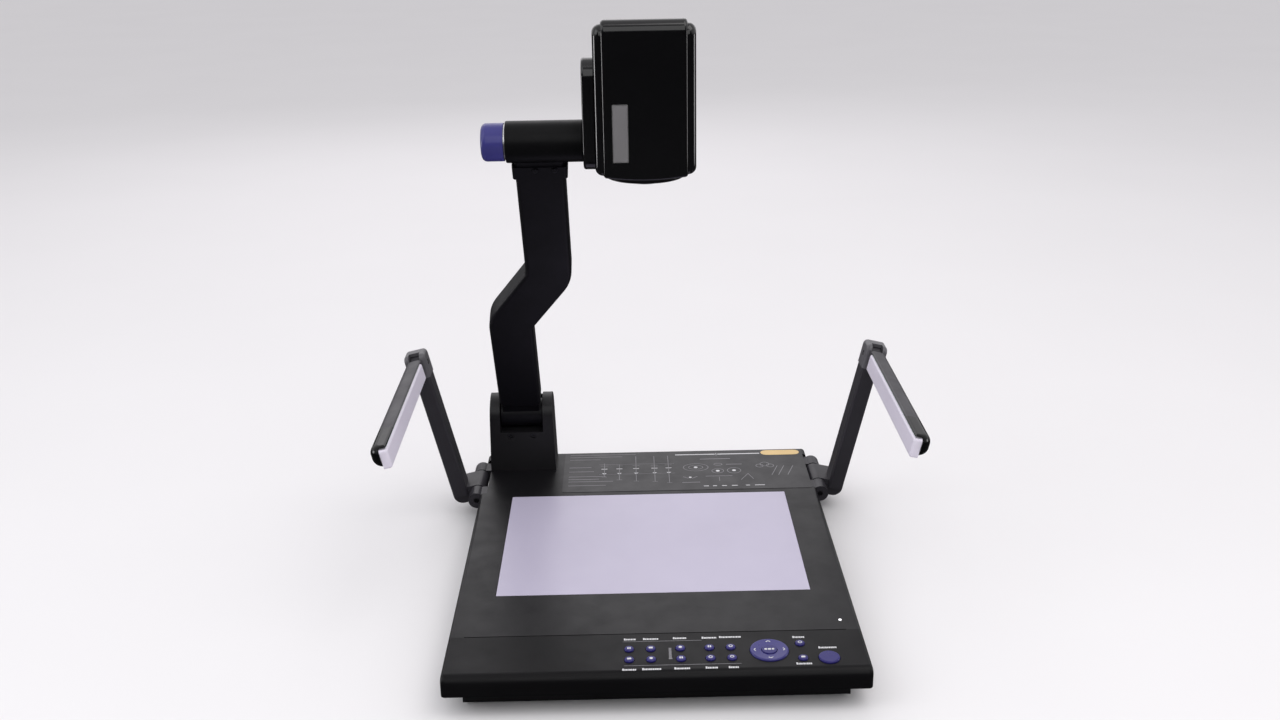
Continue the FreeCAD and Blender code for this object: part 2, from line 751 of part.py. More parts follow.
def arm_shell(name, rear):
    """Half of the arm's casing: the front half lies towards -Y of the arm, the rear half towards +Y."""
    body = new_body(name)
    sketch = new_sketch(body, name + "_face", "XZ_Plane")
    cranked(sketch, 0, "arm_start", "arm_length - 1")
    raise_from(body, name + "_block", sketch, "arm_deep", backward=rear)
    outer, inner = bend_places()
    round_off(body, name + "_outer_bends", "bend_radius + arm_half", *outer)
    round_off(body, name + "_inner_bends", "bend_radius - arm_half", *inner)
    face = "arm_deep" if rear else "-arm_deep"
    ends = {"x": ("-arm_half", "arm_half"), "z": ("arm_start",)}
    round_off(body, name + "_foot", "bend_radius - arm_half", ends)
    round_off(body, name + "_edges", "arm_round", {"y": (face,)})
    sketch = new_sketch(body, name + "_inside", "XZ_Plane")
    ease = "(bend_radius + arm_half) * tan(bend_angle / 2)"
    cranked(sketch, "wall", "arm_start - 1", "arm_length - tube_radius - 14", ease)
    sink(body, name + "_hollow", sketch, "arm_deep - wall", forward=not rear)
    sketch = new_sketch(body, name + "_saddle", "YZ_Plane", "arm_shift - arm_half - 1")
    circle(sketch, (0, "arm_length"), "tube_radius + fine_gap / 2")
    sink(body, name + "_saddle_cut", sketch, "2 * arm_half + 2", forward=True)
    on_arm(body)
    keep(body, name)


def arm():
    arm_shell("arm_front_shell", rear=False)
    arm_shell("arm_rear_shell", rear=True)
    barrel = rod("barrel", "x", "barrel_radius", ("-arm_half", 0, 0), "2 * arm_half")
    side = "arm_half - wall - 0.2"
    deep = "arm_deep - wall - 0.2"
    neck = block("neck", (f"-({side})", f"-({deep})", 0), (side, deep, "neck_end"))
    bore = rod("barrel_bore", "x", "pin_radius + fit", ("-arm_half - 1", 0, 0), "2 * arm_half + 2")
    barrel = cut("arm_hinge_barrel", join("barrel_and_neck", barrel, neck), bore)
    on_arm(barrel)
    keep(barrel, "arm_hinge_barrel")
    low = ("arm_shift - collar_wide", "-collar_deep", "collar_start")
    high = ("arm_shift + collar_wide", "collar_deep", "collar_end")
    outside = block("collar_outside", low, high)
    sides = {"x": (low[0], high[0]), "y": (low[1], high[1])}
    outside = soften("collar_rounded", outside, ("rim_round", sides))
    low = ("arm_shift - arm_half - 0.1", "-arm_deep - 0.1", "collar_start - 1")
    inside = block("collar_inside", low, ("arm_shift + arm_half + 0.1", "arm_deep + 0.1", "collar_end + 1"))
    collar = cut("arm_collar", outside, inside)
    on_arm(collar)
    keep(collar, "arm_collar")
    heads = []
    for i, across in enumerate(("arm_shift - 3.8", "arm_shift + 13.9")):
        start = (across, "-collar_deep - screw_high", "collar_end - 3.2")
        heads.append(rod(f"collar_screw_{i}", "y", "screw_radius", start, "screw_high"))
    screws = group("arm_screws", *heads)
    on_arm(screws)
    keep(screws, "arm_screws")


TUBE_ALONG = "hinge_along - arm_length * sin(arm_lean)"
TUBE_HIGH = "hinge_high + arm_length * cos(arm_lean)"


def tube_and_knob():
    tube = turned("head_tube", [
        ("knob_shaft + fit", "tube_left"),
        ("tube_radius", "tube_left"),
        ("tube_radius", "tube_right"),
        ("tilt_shaft + fit", "tube_right"),
        ("tilt_shaft + fit", "tube_right - tube_wall"),
        ("tube_bore", "tube_right - tube_wall"),
        ("tube_bore", "tube_left + tube_wall"),
        ("knob_shaft + fit", "tube_left + tube_wall"),
    ])
    round_off(tube, "tube_rims", "seam * 2", {"z": ("tube_left",)}, {"z": ("tube_right",)})
    place(tube, 0, TUBE_ALONG, TUBE_HIGH, Vector(0, 1, 0), 90)
    keep(tube, "head_tube")
    knob = turned("focus_knob", [
        (0, "knob_left"),
        ("knob_radius", "knob_left"),
        ("knob_radius", "knob_right"),
        ("knob_shaft", "knob_right"),
        ("knob_shaft", "tube_left + tube_wall"),
        (0, "tube_left + tube_wall"),
    ])
    round_off(knob, "knob_rim", "knob_round", {"z": ("knob_left",)})
    place(knob, 0, TUBE_ALONG, TUBE_HIGH, Vector(0, 1, 0), 90)
    keep(knob, "focus_knob")


# ---- camera head ---------------------------------------------------------------------------------

def on_tube(thing):
    place(thing, 0, TUBE_ALONG, TUBE_HIGH)


def head_shell(name, front):
    """Half of the head's casing: a raised centre band between two lower shoulders, bellied underneath.

    Its top slopes down to the rear.
    """
    way = -1 if front else 1

    def rounded(tag, half, reach, low, high, brow, chin, edge):
        """A box from the split plane to its face, with round edges over the top, under and at the sides."""
        face = f"{way} * ({reach})"
        near, far = (face, 0) if front else (0, face)
        box = block(f"{name}_{tag}_block", (f"-({half})", near, f"{low} - 1"), (half, far, high))
        above = block(f"{name}_{tag}_above", (0, 0, 0), (f"2 * ({half}) + 2", "3 * head_half", "head_half"))
        place(above, f"-({half}) - 1", "-head_half", high, Vector(1, 0, 0), "-head_slope")
        bellied = doc.addObject("Part::Common", f"{name}_{tag}_bellied")
        bellied.Base = cut(f"{name}_{tag}_sloped", box, above)
        start = (0, f"{near} - 1", f"{low} + belly_radius")
        bellied.Tool = rod(f"{name}_{tag}_belly", "y", "belly_radius", start, f"{reach} + 2")
        top = f"{high} - ({face} + head_half) * tan(head_slope)"
        ends = ((brow, {"y": (face,), "z": (top,)}), (chin, {"y": (face,), "z": ((low, f"{low} + 6"),)}))
        box = soften(f"{name}_{tag}_ends", bellied, *ends)
        return soften(f"{name}_{tag}", box, (edge, {"x": (f"-({half})", half), "y": (face,)}))

    low, high = "head_low + shoulder_lift", "head_high - shoulder_drop"
    rounds = ("brow_round", "chin_round", "shoulder_round")
    wide = rounded("wide", "head_half", "head_half - shoulder_back", low, high, *rounds)
    band = rounded("band", "band_half", "head_half", "head_low", "head_high", "brow_round", 4, "band_round")
    reach = "head_half - shoulder_back - wall"
    rounds = [f"{radius} - wall" for radius in rounds]
    inside = rounded("inside", "head_half - wall", reach, f"{low} + wall", f"{high} - wall", *rounds)
    seat = "lens_half + ring_wide + fit"
    hole = rod(name + "_lens_hole", "z", seat, (0, 0, "head_low - 1"), "ring_seat + 1")
    shell = cut(name, join(name + "_outside", wide, band), inside, hole)
    on_tube(shell)
    keep(shell, name)


def camera_head():
    head_shell("head_front_shell", front=True)
    head_shell("head_rear_shell", front=False)
    body = new_body("head_side_plate")
    sketch = new_sketch(body, "side_plate_outline", "YZ_Plane", "plate_left")
    rear_top = "plate_high - 2 * plate_half * tan(head_slope)"
    corners = [("-plate_half", "plate_low"), ("plate_half", "plate_low")]
    outline(sketch, corners + [("plate_half", rear_top), ("-plate_half", "plate_high")])
    raise_from(body, "side_plate_block", sketch, "-head_half - plate_left")
    corners = {"y": ("-plate_half", "plate_half"), "z": ("plate_low", "plate_high", rear_top)}
    round_off(body, "side_plate_corners", "plate_round", corners)
    round_off(body, "side_plate_rim", "plate_rim", {"x": ("plate_left",)})
    sketch = new_sketch(body, "tilt_shaft_section", "YZ_Plane", "plate_left")
    circle(sketch, (0, 0), "tilt_shaft")
    raise_from(body, "tilt_shaft_rod", sketch, "tube_wall + 4", backward=True)
    on_tube(body)
    keep(body, "head_side_plate")
    ball_radius = "(lens_half * lens_half + lens_drop * lens_drop) / (2 * lens_drop)"
    ball = doc.addObject("Part::Sphere", "lens_ball")
    bind(ball, {"Radius": ball_radius})
    seat = "head_low - lens_seat"
    place(ball, 0, 0, f"{seat} - lens_drop + {ball_radius}")
    low = ("-lens_half - 1", "-lens_half - 1", f"{seat} - lens_drop - 1")
    slab = block("lens_slab", low, ("lens_half + 1", "lens_half + 1", seat))
    window = doc.addObject("Part::Common", "lens_window")
    window.Base = ball
    window.Tool = slab
    on_tube(window)
    keep(window, "lens_window")
    ring_far = "lens_half + ring_wide"
    ring_near = "lens_half + fine_gap"
    low = "head_low - ring_drop"
    ledge = "head_low + ring_seat"
    top = f"{ledge} + 1.8"
    profile = [(ring_near, low), (ring_far, low), (ring_far, ledge), (f"{ring_far} + 3", ledge)]
    profile += [(f"{ring_far} + 3", top), ("lens_hole", top), ("lens_hole", seat), (ring_near, seat)]
    ring = turned("lens_ring", profile)
    round_off(ring, "ring_rim", "ring_drop / 4", {"z": (low,)})
    on_tube(ring)
    keep(ring, "lens_ring")
    barrel = rod("camera_barrel", "z", "camera_radius", (0, 0, "head_low + 3"), "camera_high")
    top = "head_low + 3 + camera_high"
    low = ("-head_half + 8", -24, top)
    carrier = block("sensor_board", low, ("head_half - 8", 24, f"{top} + board_thick"))
    camera = join("camera_module", barrel, carrier)
    on_tube(camera)
    keep(camera, "camera_module")
    low = ("badge_left", "-head_half - badge_thick", "badge_low")
    plate = block("badge_plate", low, ("badge_right", "-head_half", "badge_high"))
    sides = {"x": ("badge_left", "badge_right"), "z": ("badge_low", "badge_high")}
    badge = soften("head_badge", plate, ("seam * 2", sides))
    on_tube(badge)
    keep(badge, "head_badge")


# ---- lamps ---------------------------------------------------------------------------------------

def on_lamp_hinge(thing, side):
    place(thing, f"{side} * lamp_across", 0, "lamp_high", Vector(0, side, 0), "lamp_lean")


def on_lamp_pivot(thing, side):
    reach = "lamp_across + pivot_out * cos(lamp_lean) + pivot_up * sin(lamp_lean)"
    height = "lamp_high - pivot_out * sin(lamp_lean) + pivot_up * cos(lamp_lean)"
    place(thing, f"{side} * ({reach})", "pivot_along", height, Vector(0, side, 0), "lamp_lean")


def lamp_brackets():
    """The hinge bracket in each side of the base: a block inside with a lug at each end."""
    brackets = []
    pins = []
    for name, side in SIDES.items():
        low = ("tray_half + 0.2", "notch_front + 1", "skirt_low + wall")
        high = ("notch_across", "notch_back - 1", "base_top - wall")
        inner = block(name + "_bracket_block", *sided(side, low, high))
        pieces = [inner]
        for end, start in (("front", "notch_front + lug_end"), ("back", "notch_back - lug_end - lug_long")):
            low = ("notch_across - 1", start, "skirt_low + wall")
            high = ("lamp_across", f"{start} + lug_long", "base_top - wall")
            web = block(f"{name}_{end}_web", *sided(side, low, high))
            centre = (f"{side} * lamp_across", start, "lamp_high")
            lug = rod(f"{name}_{end}_lug", "y", "lug_radius", centre, "lug_long")
            pieces += [web, lug]
        start = (f"{side} * lamp_across", "notch_front", "lamp_high")
        bore = rod(name + "_pin_bore", "y", "lamp_pin + fit", start, "notch_back - notch_front")
        brackets.append(cut(name + "_bracket", join(name + "_bracket_body", *pieces), bore))
        start = (f"{side} * lamp_across", "notch_front + lug_end + 1", "lamp_high")
        pins.append(rod(name + "_pin", "y", "lamp_pin", start, "notch_back - notch_front - 2 * lug_end - 2"))
    keep(group("lamp_brackets", *brackets), "lamp_brackets")
    keep(group("lamp_hinge_pins", *pins), "lamp_hinge_pins")


def lamp_arm(name, side):
    length = "knuckle_back - knuckle_front"
    knuckle = rod(f"{name}_knuckle", "y", "lug_radius", (0, "knuckle_front", 0), length)
    low = (0, "knuckle_front", "-lug_radius")
    foot = block(f"{name}_foot", *sided(side, low, ("beam_far", "knuckle_back", "lug_radius")))
    far = (f"{side} * beam_far",)
    foot = soften(f"{name}_foot_rounded", foot, ("foot_round", {"x": far, "z": ("-lug_radius",)}))
    low = ("beam_near", "beam_front", 0)
    beam = block(f"{name}_beam", *sided(side, low, ("beam_far", "beam_back", "beam_top")))
    sides = {"x": (f"{side} * beam_near", f"{side} * beam_far"), "y": ("beam_front", "beam_back")}
    beam = soften(f"{name}_beam_rounded", beam, ("beam_round", sides))
    low = ("beam_near + wall", "beam_front + wall", "lug_radius + wall")
    high = ("beam_far - wall", "beam_back - wall", "beam_top - wall")
    hollow = block(f"{name}_hollow", *sided(side, low, high))
    length = "knuckle_back - beam_front + 2"
    bore = rod(f"{name}_bore", "y", "lamp_pin + fit", (0, "beam_front - 1", 0), length)
    arm_body = cut(f"lamp_arm_{name}", join(f"{name}_arm_outside", knuckle, foot, beam), hollow, bore)
    on_lamp_hinge(arm_body, side)
    keep(arm_body, f"lamp_arm_{name}")


def lamp_yoke(name, side):
    low = ("pivot_out - yoke_half", "beam_front", "beam_top")
    high = ("pivot_out + yoke_half", "yoke_back", "yoke_top")
    cheeks = block(f"{name}_yoke_block", *sided(side, low, high))
    crown = {"z": ("yoke_top",), "y": ("beam_front", "yoke_back")}
    cheeks = soften(f"{name}_yoke_crown", cheeks, ("yoke_crown", crown))
    flanks = (f"{side} * (pivot_out - yoke_half)", f"{side} * (pivot_out + yoke_half)")
    cheeks = soften(f"{name}_yoke_rounded", cheeks, ("yoke_round", {"x": flanks, "z": ("yoke_top",)}))
    low = ("pivot_out - slot_wide", "beam_front - 1", "beam_top - 1")
    high = ("pivot_out + slot_wide", "yoke_back - 4", "yoke_roof")
    gap = block(f"{name}_yoke_gap", *sided(side, low, high))
    high = ("pivot_out + slot_wide", "pivot_along - 2", "yoke_top + 1")
    mouth = block(f"{name}_yoke_mouth", *sided(side, low, high))
    start = (f"{side} * pivot_out - yoke_half - 1", "pivot_along", "pivot_up")
    bore = rod(f"{name}_yoke_bore", "x", "lamp_pin + fit", start, "2 * yoke_half + 2")
    yoke = cut(f"{name}_yoke", cheeks, gap, mouth, bore)
    start = (f"{side} * pivot_out - yoke_half + 0.5", "pivot_along", "pivot_up")
    pin = rod(f"{name}_yoke_pin", "x", "lamp_pin", start, "2 * yoke_half - 1")
    both = group(f"lamp_yoke_{name}", yoke, pin)
    on_lamp_hinge(both, side)
    keep(both, f"lamp_yoke_{name}")


def lamp_section(name, side, start, end):
    """A length of the lamp's dark housing, with its inner side cut away for the diffuser."""
    nose = start == "bar_front"
    low = ("-bar_half", start, "-bar_high")
    bar = block(f"{name}_bar", *sided(side, low, ("bar_half", end, "bar_high")))
    outer = (f"{side} * bar_half",)
    inner = (f"-{side} * bar_half",)
    if nose:
        bar = soften(f"{name}_plan", bar, ("nose_round", {"y": (start,), "x": outer}))
    bar = soften(
        f"{name}_rounded", bar,
        ("back_round", {"x": outer, "z": ("-bar_high", "bar_high")}),
        ("bar_round", {"x": inner, "z": ("bar_high",)}),
    )
    low = ("-bar_half - 1", f"{start} - 1", "glow_low - 1")
    back = f"{end} + 1" if nose else f"{end} - 3"
    high = ("glow_out + 0.2", back, "glow_top + led_thick + 0.2")
    return bar, block(f"{name}_recess", *sided(side, low, high))


def lamp_bar(name, side):
    """The lamp itself, a long bar that runs forward from its pivot, with its light on the inner side."""
    bar, recess = lamp_section(f"{name}_housing", side, "bar_front + cap_long", "bar_back")
    tongue = rod(f"{name}_tongue_end", "x", "tongue_radius", ("-tongue_half", 0, 0), "2 * tongue_half")
    low = ("-tongue_half", "bar_back - 1", "-tongue_high")
    link = block(f"{name}_tongue", low, ("tongue_half", 0, "tongue_high"))
    bore = rod(f"{name}_tongue_bore", "x", "lamp_pin + fit", ("-bar_half", 0, 0), "2 * bar_half")
    low = ("glow_out + 2.2", "bar_front + cap_long + 2", "5 - bar_high")
    high = ("bar_half - 2.5", "bar_back - 5", "glow_top - 2")
    hollow = block(f"{name}_bar_hollow", *sided(side, low, high))
    housing = cut(f"lamp_housing_{name}", join(f"{name}_bar_body", bar, tongue, link), recess, hollow, bore)
    on_lamp_pivot(housing, side)
    keep(housing, f"lamp_housing_{name}")
    cap, recess = lamp_section(f"{name}_nose", side, "bar_front", "bar_front + cap_long")
    cap = cut(f"lamp_cap_{name}", cap, recess)
    on_lamp_pivot(cap, side)
    keep(cap, f"lamp_cap_{name}")
    low = ("-bar_half - 0.5", "bar_front + 2", "glow_low")
    glow = block(f"{name}_glow", *sided(side, low, ("glow_out", "bar_back - 3.2", "glow_top")))
    near = (f"{side} * (-bar_half - 0.5)",)
    glow = soften(
        f"lamp_diffuser_{name}", glow,
        ("rim_round", {"x": near, "z": ("glow_low", "glow_top")}),
        ("rim_round", {"y": ("bar_front + 2",), "z": ("glow_low", "glow_top")}),
        ("rim_round", {"y": ("bar_front + 2",), "x": near}),
    )
    on_lamp_pivot(glow, side)
    keep(glow, f"lamp_diffuser_{name}")
    low = ("-bar_half + 1", "bar_front + 8", "glow_top + 0.1")
    high = ("glow_out", "bar_back - 5", "glow_top + 0.1 + led_thick")
    leds = block(f"{name}_leds", *sided(side, low, high))
    leds = group(f"{name}_led_board", leds)
    on_lamp_pivot(leds, side)
    keep(leds, f"lamp_board_{name}")


top_cover()
bottom_tray()
rear_panel()
sockets()
stage()
boards()
base_fittings()
keys()
column()
arm()
tube_and_knob()
camera_head()
lamp_brackets()
for side_name, side_sign in SIDES.items():
    lamp_arm(side_name, side_sign)
    lamp_yoke(side_name, side_sign)
    lamp_bar(side_name, side_sign)
doc.recompute()

for thing in doc.Objects:
    if "Invalid" in thing.State or "Error" in thing.State:
        raise RuntimeError(f"{thing.Name} failed: {thing.State}")
for node in nodes:
    if node.Shape.isNull() or not node.Shape.isValid():
        raise RuntimeError(f"{node.Label} has no valid shape")
os.makedirs("parts", exist_ok=True)
for node in nodes:
    node.Shape.exportStep(f"parts/{node.Label}.step")
    print(f"{node.Label:20s} {len(node.Shape.Solids)} solids {node.Shape.Volume:10.0f} mm3")
print(len(nodes), "sub-parts")
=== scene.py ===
import json
import math

import bmesh
import bpy
from mathutils import Matrix, Vector


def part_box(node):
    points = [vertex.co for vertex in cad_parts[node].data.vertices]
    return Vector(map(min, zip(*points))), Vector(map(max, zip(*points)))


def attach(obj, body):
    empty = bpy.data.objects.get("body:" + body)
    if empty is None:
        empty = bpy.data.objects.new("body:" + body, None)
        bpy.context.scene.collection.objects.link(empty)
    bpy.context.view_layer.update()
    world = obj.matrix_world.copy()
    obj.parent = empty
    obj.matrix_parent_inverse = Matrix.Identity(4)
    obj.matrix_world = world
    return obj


# A desktop document camera: a dark base with a lit stage and violet keys, a camera head on a cranked
# arm, and two lamps. The CAD bodies carry the shape; this script gives them their finish and adds the
# printed marks, key symbols, screw crosses, cooling slots, contacts, lens parts and small trims.
# Units are metres.

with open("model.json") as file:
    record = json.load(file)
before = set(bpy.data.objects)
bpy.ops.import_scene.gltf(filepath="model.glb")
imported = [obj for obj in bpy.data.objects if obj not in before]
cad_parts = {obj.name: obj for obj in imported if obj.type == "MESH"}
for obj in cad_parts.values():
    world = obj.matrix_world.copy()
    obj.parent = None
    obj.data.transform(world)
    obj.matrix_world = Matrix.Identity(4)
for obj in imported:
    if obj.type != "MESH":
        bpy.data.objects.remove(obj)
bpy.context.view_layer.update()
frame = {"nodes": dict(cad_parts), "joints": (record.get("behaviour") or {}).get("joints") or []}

MM = 0.001
PRINT = 0.05 * MM
CREASE = -165.5 * MM  # the groove across the cover, behind the keys
scene = bpy.context.scene
scene.view_settings.view_transform = "Standard"


# ---- materials -----------------------------------------------------------------------------------

def new_material(name):
    material = bpy.data.materials.new(name)
    material.use_nodes = True
    shader = material.node_tree.nodes["Principled BSDF"]
    return material, material.node_tree, shader


def noise(tree, scale, detail=2.0, stretch=(1, 1, 1), rough=0.5):
    """Noise in the part's own coordinates, with scale in cells per metre."""
    where = tree.nodes.new("ShaderNodeTexCoord")
    mapping = tree.nodes.new("ShaderNodeMapping")
    mapping.inputs["Scale"].default_value = stretch
    texture = tree.nodes.new("ShaderNodeTexNoise")
    texture.inputs["Scale"].default_value = scale
    texture.inputs["Detail"].default_value = detail
    texture.inputs["Roughness"].default_value = rough
    tree.links.new(where.outputs["Object"], mapping.inputs["Vector"])
    tree.links.new(mapping.outputs["Vector"], texture.inputs["Vector"])
    return texture.outputs["Fac"]


def ramp(tree, source, low, high, start=0.3, end=0.7):
    """A value or colour that goes from low to high as the source goes from start to end."""
    node = tree.nodes.new("ShaderNodeValToRGB")
    node.color_ramp.elements[0].position = start
    node.color_ramp.elements[1].position = end
    for element, shade in zip(node.color_ramp.elements, (low, high)):
        shade = (shade,) * 3 if isinstance(shade, (int, float)) else shade
        element.color = (*shade, 1)
    tree.links.new(source, node.inputs["Fac"])
    return node.outputs["Color"]


def bump(tree, source, depth, under=None):
    """A bump whose height is the source times depth, in metres, on top of another bump."""
    node = tree.nodes.new("ShaderNodeBump")
    node.inputs["Strength"].default_value = 1.0
    node.inputs["Distance"].default_value = depth
    tree.links.new(source, node.inputs["Height"])
    if under is not None:
        tree.links.new(under, node.inputs["Normal"])
    return node.outputs["Normal"]


def scaled(color, factor):
    return tuple(min(1.0, channel * factor) for channel in color)


def moulded(name, color, roughness, grain=900, depth=0.02 * MM, spread=0.06, coat=0.0, shine=0.35, drift=0.12):
    """Moulded or painted surface: fine grain, slow waviness, and a colour and gloss that drift a little."""
    material, tree, shader = new_material(name)
    slow = noise(tree, 14, 3)
    handling = noise(tree, 45, 4, rough=0.6)
    tone = ramp(tree, slow, scaled(color, 1 - drift), scaled(color, 1 + drift))
    tree.links.new(tone, shader.inputs["Base Color"])
    tree.links.new(ramp(tree, handling, roughness - spread, roughness + spread), shader.inputs["Roughness"])
    wavy = bump(tree, slow, 0.05 * MM)
    normal = bump(tree, noise(tree, grain, 3, rough=0.6), depth, wavy)
    tree.links.new(normal, shader.inputs["Normal"])
    shader.inputs["Coat Weight"].default_value = coat
    shader.inputs["Coat Roughness"].default_value = 0.08
    shader.inputs["Specular IOR Level"].default_value = shine
    return material


def darker_front_strip(material, line, share):
    """Darken a moulding in front of a line, and take down its shine."""
    tree = material.node_tree
    shader = tree.nodes["Principled BSDF"]
    where = tree.nodes.new("ShaderNodeTexCoord")
    parts = tree.nodes.new("ShaderNodeSeparateXYZ")
    tree.links.new(where.outputs["Object"], parts.inputs["Vector"])
    step = tree.nodes.new("ShaderNodeMapRange")
    step.inputs["From Min"].default_value = line - 1 * MM
    step.inputs["From Max"].default_value = line
    step.inputs["To Min"].default_value = share
    tree.links.new(parts.outputs["Y"], step.inputs["Value"])
    tone = tree.nodes.new("ShaderNodeVectorMath")
    tone.operation = "MULTIPLY"
    tree.links.new(shader.inputs["Base Color"].links[0].from_socket, tone.inputs[0])
    tree.links.new(step.outputs["Result"], tone.inputs[1])
    tree.links.new(tone.outputs["Vector"], shader.inputs["Base Color"])
    shine = tree.nodes.new("ShaderNodeMath")
    shine.operation = "MULTIPLY"
    shine.inputs[1].default_value = shader.inputs["Specular IOR Level"].default_value
    tree.links.new(step.outputs["Result"], shine.inputs[0])
    tree.links.new(shine.outputs["Value"], shader.inputs["Specular IOR Level"])


def brushed(name, color, roughness, along=(1, 60, 60)):
    """Metal with fine scratches drawn along one direction."""
    material, tree, shader = new_material(name)
    lines = noise(tree, 300, 3, stretch=along)
    tree.links.new(ramp(tree, lines, scaled(color, 0.85), scaled(color, 1.1)), shader.inputs["Base Color"])
    tree.links.new(ramp(tree, lines, roughness - 0.08, roughness + 0.1), shader.inputs["Roughness"])
    tree.links.new(bump(tree, lines, 0.01 * MM), shader.inputs["Normal"])
    shader.inputs["Metallic"].default_value = 1.0
    return material


def lit_sheet(name, color, glow, grain):
    """A milky translucent sheet with faint cloudiness and a soft glow of its own."""
    material, tree, shader = new_material(name)
    cloud = noise(tree, 9, 2)
    tone = ramp(tree, cloud, scaled(color, 0.97), scaled(color, 1.02))
    tree.links.new(tone, shader.inputs["Base Color"])
    tree.links.new(tone, shader.inputs["Emission Color"])
    tree.links.new(ramp(tree, noise(tree, 60, 3), 0.28, 0.38), shader.inputs["Roughness"])
    tree.links.new(bump(tree, noise(tree, grain, 2), 0.006 * MM), shader.inputs["Normal"])
    shader.inputs["Emission Strength"].default_value = glow
    return material


def glass(name, color, roughness=0.03):
    material, tree, shader = new_material(name)
    tree.links.new(ramp(tree, noise(tree, 30, 2), scaled(color, 0.9), color), shader.inputs["Base Color"])
    tree.links.new(ramp(tree, noise(tree, 80, 3), roughness, roughness + 0.04), shader.inputs["Roughness"])
    shader.inputs["Transmission Weight"].default_value = 0.75
    shader.inputs["IOR"].default_value = 1.5
    return material


CASE = moulded("case_black", (0.0062, 0.0059, 0.0070), 0.36, grain=1500, depth=0.02 * MM, shine=0.21)
CASE_UNDER = moulded("case_under", (0.008, 0.008, 0.009), 0.55, grain=900, depth=0.04 * MM, shine=0.3)
ARM = moulded("arm_satin", (0.0050, 0.0046, 0.0066), 0.42, grain=1800, depth=0.012 * MM, shine=0.18)
TUBE = moulded("tube_black", (0.0030, 0.0030, 0.0035), 0.40, grain=1200, depth=0.006 * MM, shine=0.12)
COLUMN = moulded("column_satin", (0.0115, 0.011, 0.0125), 0.40, grain=1500, depth=0.018 * MM, shine=0.28)
GLOSS = moulded("head_gloss", (0.002, 0.002, 0.0025), 0.12, grain=500, depth=0.002 * MM, spread=0.03, shine=0.5)
CAP = moulded("cap_gloss", (0.002, 0.002, 0.0025), 0.14, grain=500, depth=0.002 * MM, spread=0.03, shine=0.16)
LAMP = moulded("lamp_grey", (0.030, 0.028, 0.034), 0.38, grain=1800, depth=0.012 * MM, shine=0.28)
YOKE = moulded("yoke_grey", (0.10, 0.097, 0.107), 0.38, grain=1800, depth=0.012 * MM, shine=0.4)
KEY = moulded("key_violet", (0.022, 0.018, 0.132), 0.28, grain=1600, depth=0.008 * MM, coat=0.06, shine=0.22)
KNOB = moulded("knob_violet", (0.034, 0.032, 0.180), 0.34, grain=1600, depth=0.01 * MM, coat=0.1)
RING = moulded("ring_violet", (0.032, 0.028, 0.160), 0.3, grain=1600, depth=0.008 * MM, coat=0.06, shine=0.3)
PRINT_WHITE = moulded("print_white", (0.60, 0.60, 0.62), 0.5, grain=2500, depth=0.004 * MM)
PRINT_GREY = moulded("print_grey", (0.20, 0.195, 0.21), 0.5, grain=2500, depth=0.004 * MM)
LABEL = moulded("label_film", (0.014, 0.0132, 0.0156), 0.40, grain=2200, depth=0.008 * MM)
GOLD = moulded("gold_sticker", (0.62, 0.42, 0.15), 0.35, grain=2000, depth=0.006 * MM, coat=0.3)
RUBBER = moulded("foot_rubber", (0.02, 0.02, 0.021), 0.8, grain=700, depth=0.06 * MM)
BOARD = moulded("board_green", (0.02, 0.12, 0.045), 0.35, grain=600, depth=0.02 * MM)
# Painted shade: this black stands for the shade inside the screw recesses and cooling slots; on the socket
# tongues and pivot nut marks it is their own black.
DARK = moulded("shade_and_black", (0.004, 0.004, 0.004), 0.6)
STEEL = brushed("plated_steel", (0.62, 0.62, 0.62), 0.3)
BLACK_STEEL = brushed("black_steel", (0.05, 0.05, 0.055), 0.35)
BADGE = moulded("badge_grey", (0.16, 0.155, 0.16), 0.40, grain=1600, depth=0.008 * MM)
BRASS = brushed("contact_gold", (0.8, 0.58, 0.22), 0.25)
STAGE = lit_sheet("stage_white", (0.44, 0.41, 0.525), 0.05, 1500)
DIFFUSER = lit_sheet("lamp_white", (0.68, 0.64, 0.74), 0.10, 900)
STATUS = lit_sheet("status_white", (0.9, 0.9, 0.92), 0.8, 900)
LENS = glass("lens_red", (0.24, 0.012, 0.022))
OPTIC = glass("optic_blue", (0.08, 0.09, 0.2), 0.01)
CLEAR = glass("clear_guide", (0.85, 0.9, 0.92), 0.05)

FINISHES = {
    CASE: ("top_cover",),
    CASE_UNDER: ("bottom_tray", "rear_panel", "audio_jack", "camera_module"),
    COLUMN: ("column_shell", "column_rear_cover"),
    ARM: ("arm_front_shell", "arm_rear_shell", "arm_collar", "arm_hinge_barrel"),
    TUBE: ("head_tube",),
    GLOSS: ("head_front_shell", "head_rear_shell", "head_side_plate", "lens_ring"),
    CAP: ("lamp_cap_left", "lamp_cap_right"),
    LAMP: ("lamp_brackets", "lamp_arm_left", "lamp_arm_right", "lamp_housing_left", "lamp_housing_right"),
    YOKE: ("lamp_yoke_left", "lamp_yoke_right"),
    KNOB: ("focus_knob",),
    RING: ("direction_ring",),
    BLACK_STEEL: ("case_screws", "arm_screws", "arm_hinge_pin", "lamp_hinge_pins"),
    STAGE: ("stage_panel",),
    DIFFUSER: ("lamp_diffuser_left", "lamp_diffuser_right"),
    LABEL: ("instruction_label",),
    RUBBER: ("rubber_feet",),
    BOARD: ("circuit_boards", "light_strips", "lamp_board_left", "lamp_board_right"),
    STEEL: ("light_pan", "rear_sockets"),
    BADGE: ("head_badge",),
    LENS: ("lens_window",),
    CLEAR: ("light_guide",),
    STATUS: ("status_lens",),
}
darker_front_strip(CASE, CREASE, share=0.62)
KEYS = [name for name in frame["nodes"] if name.endswith("_key") or name.startswith("shortcut_key")]


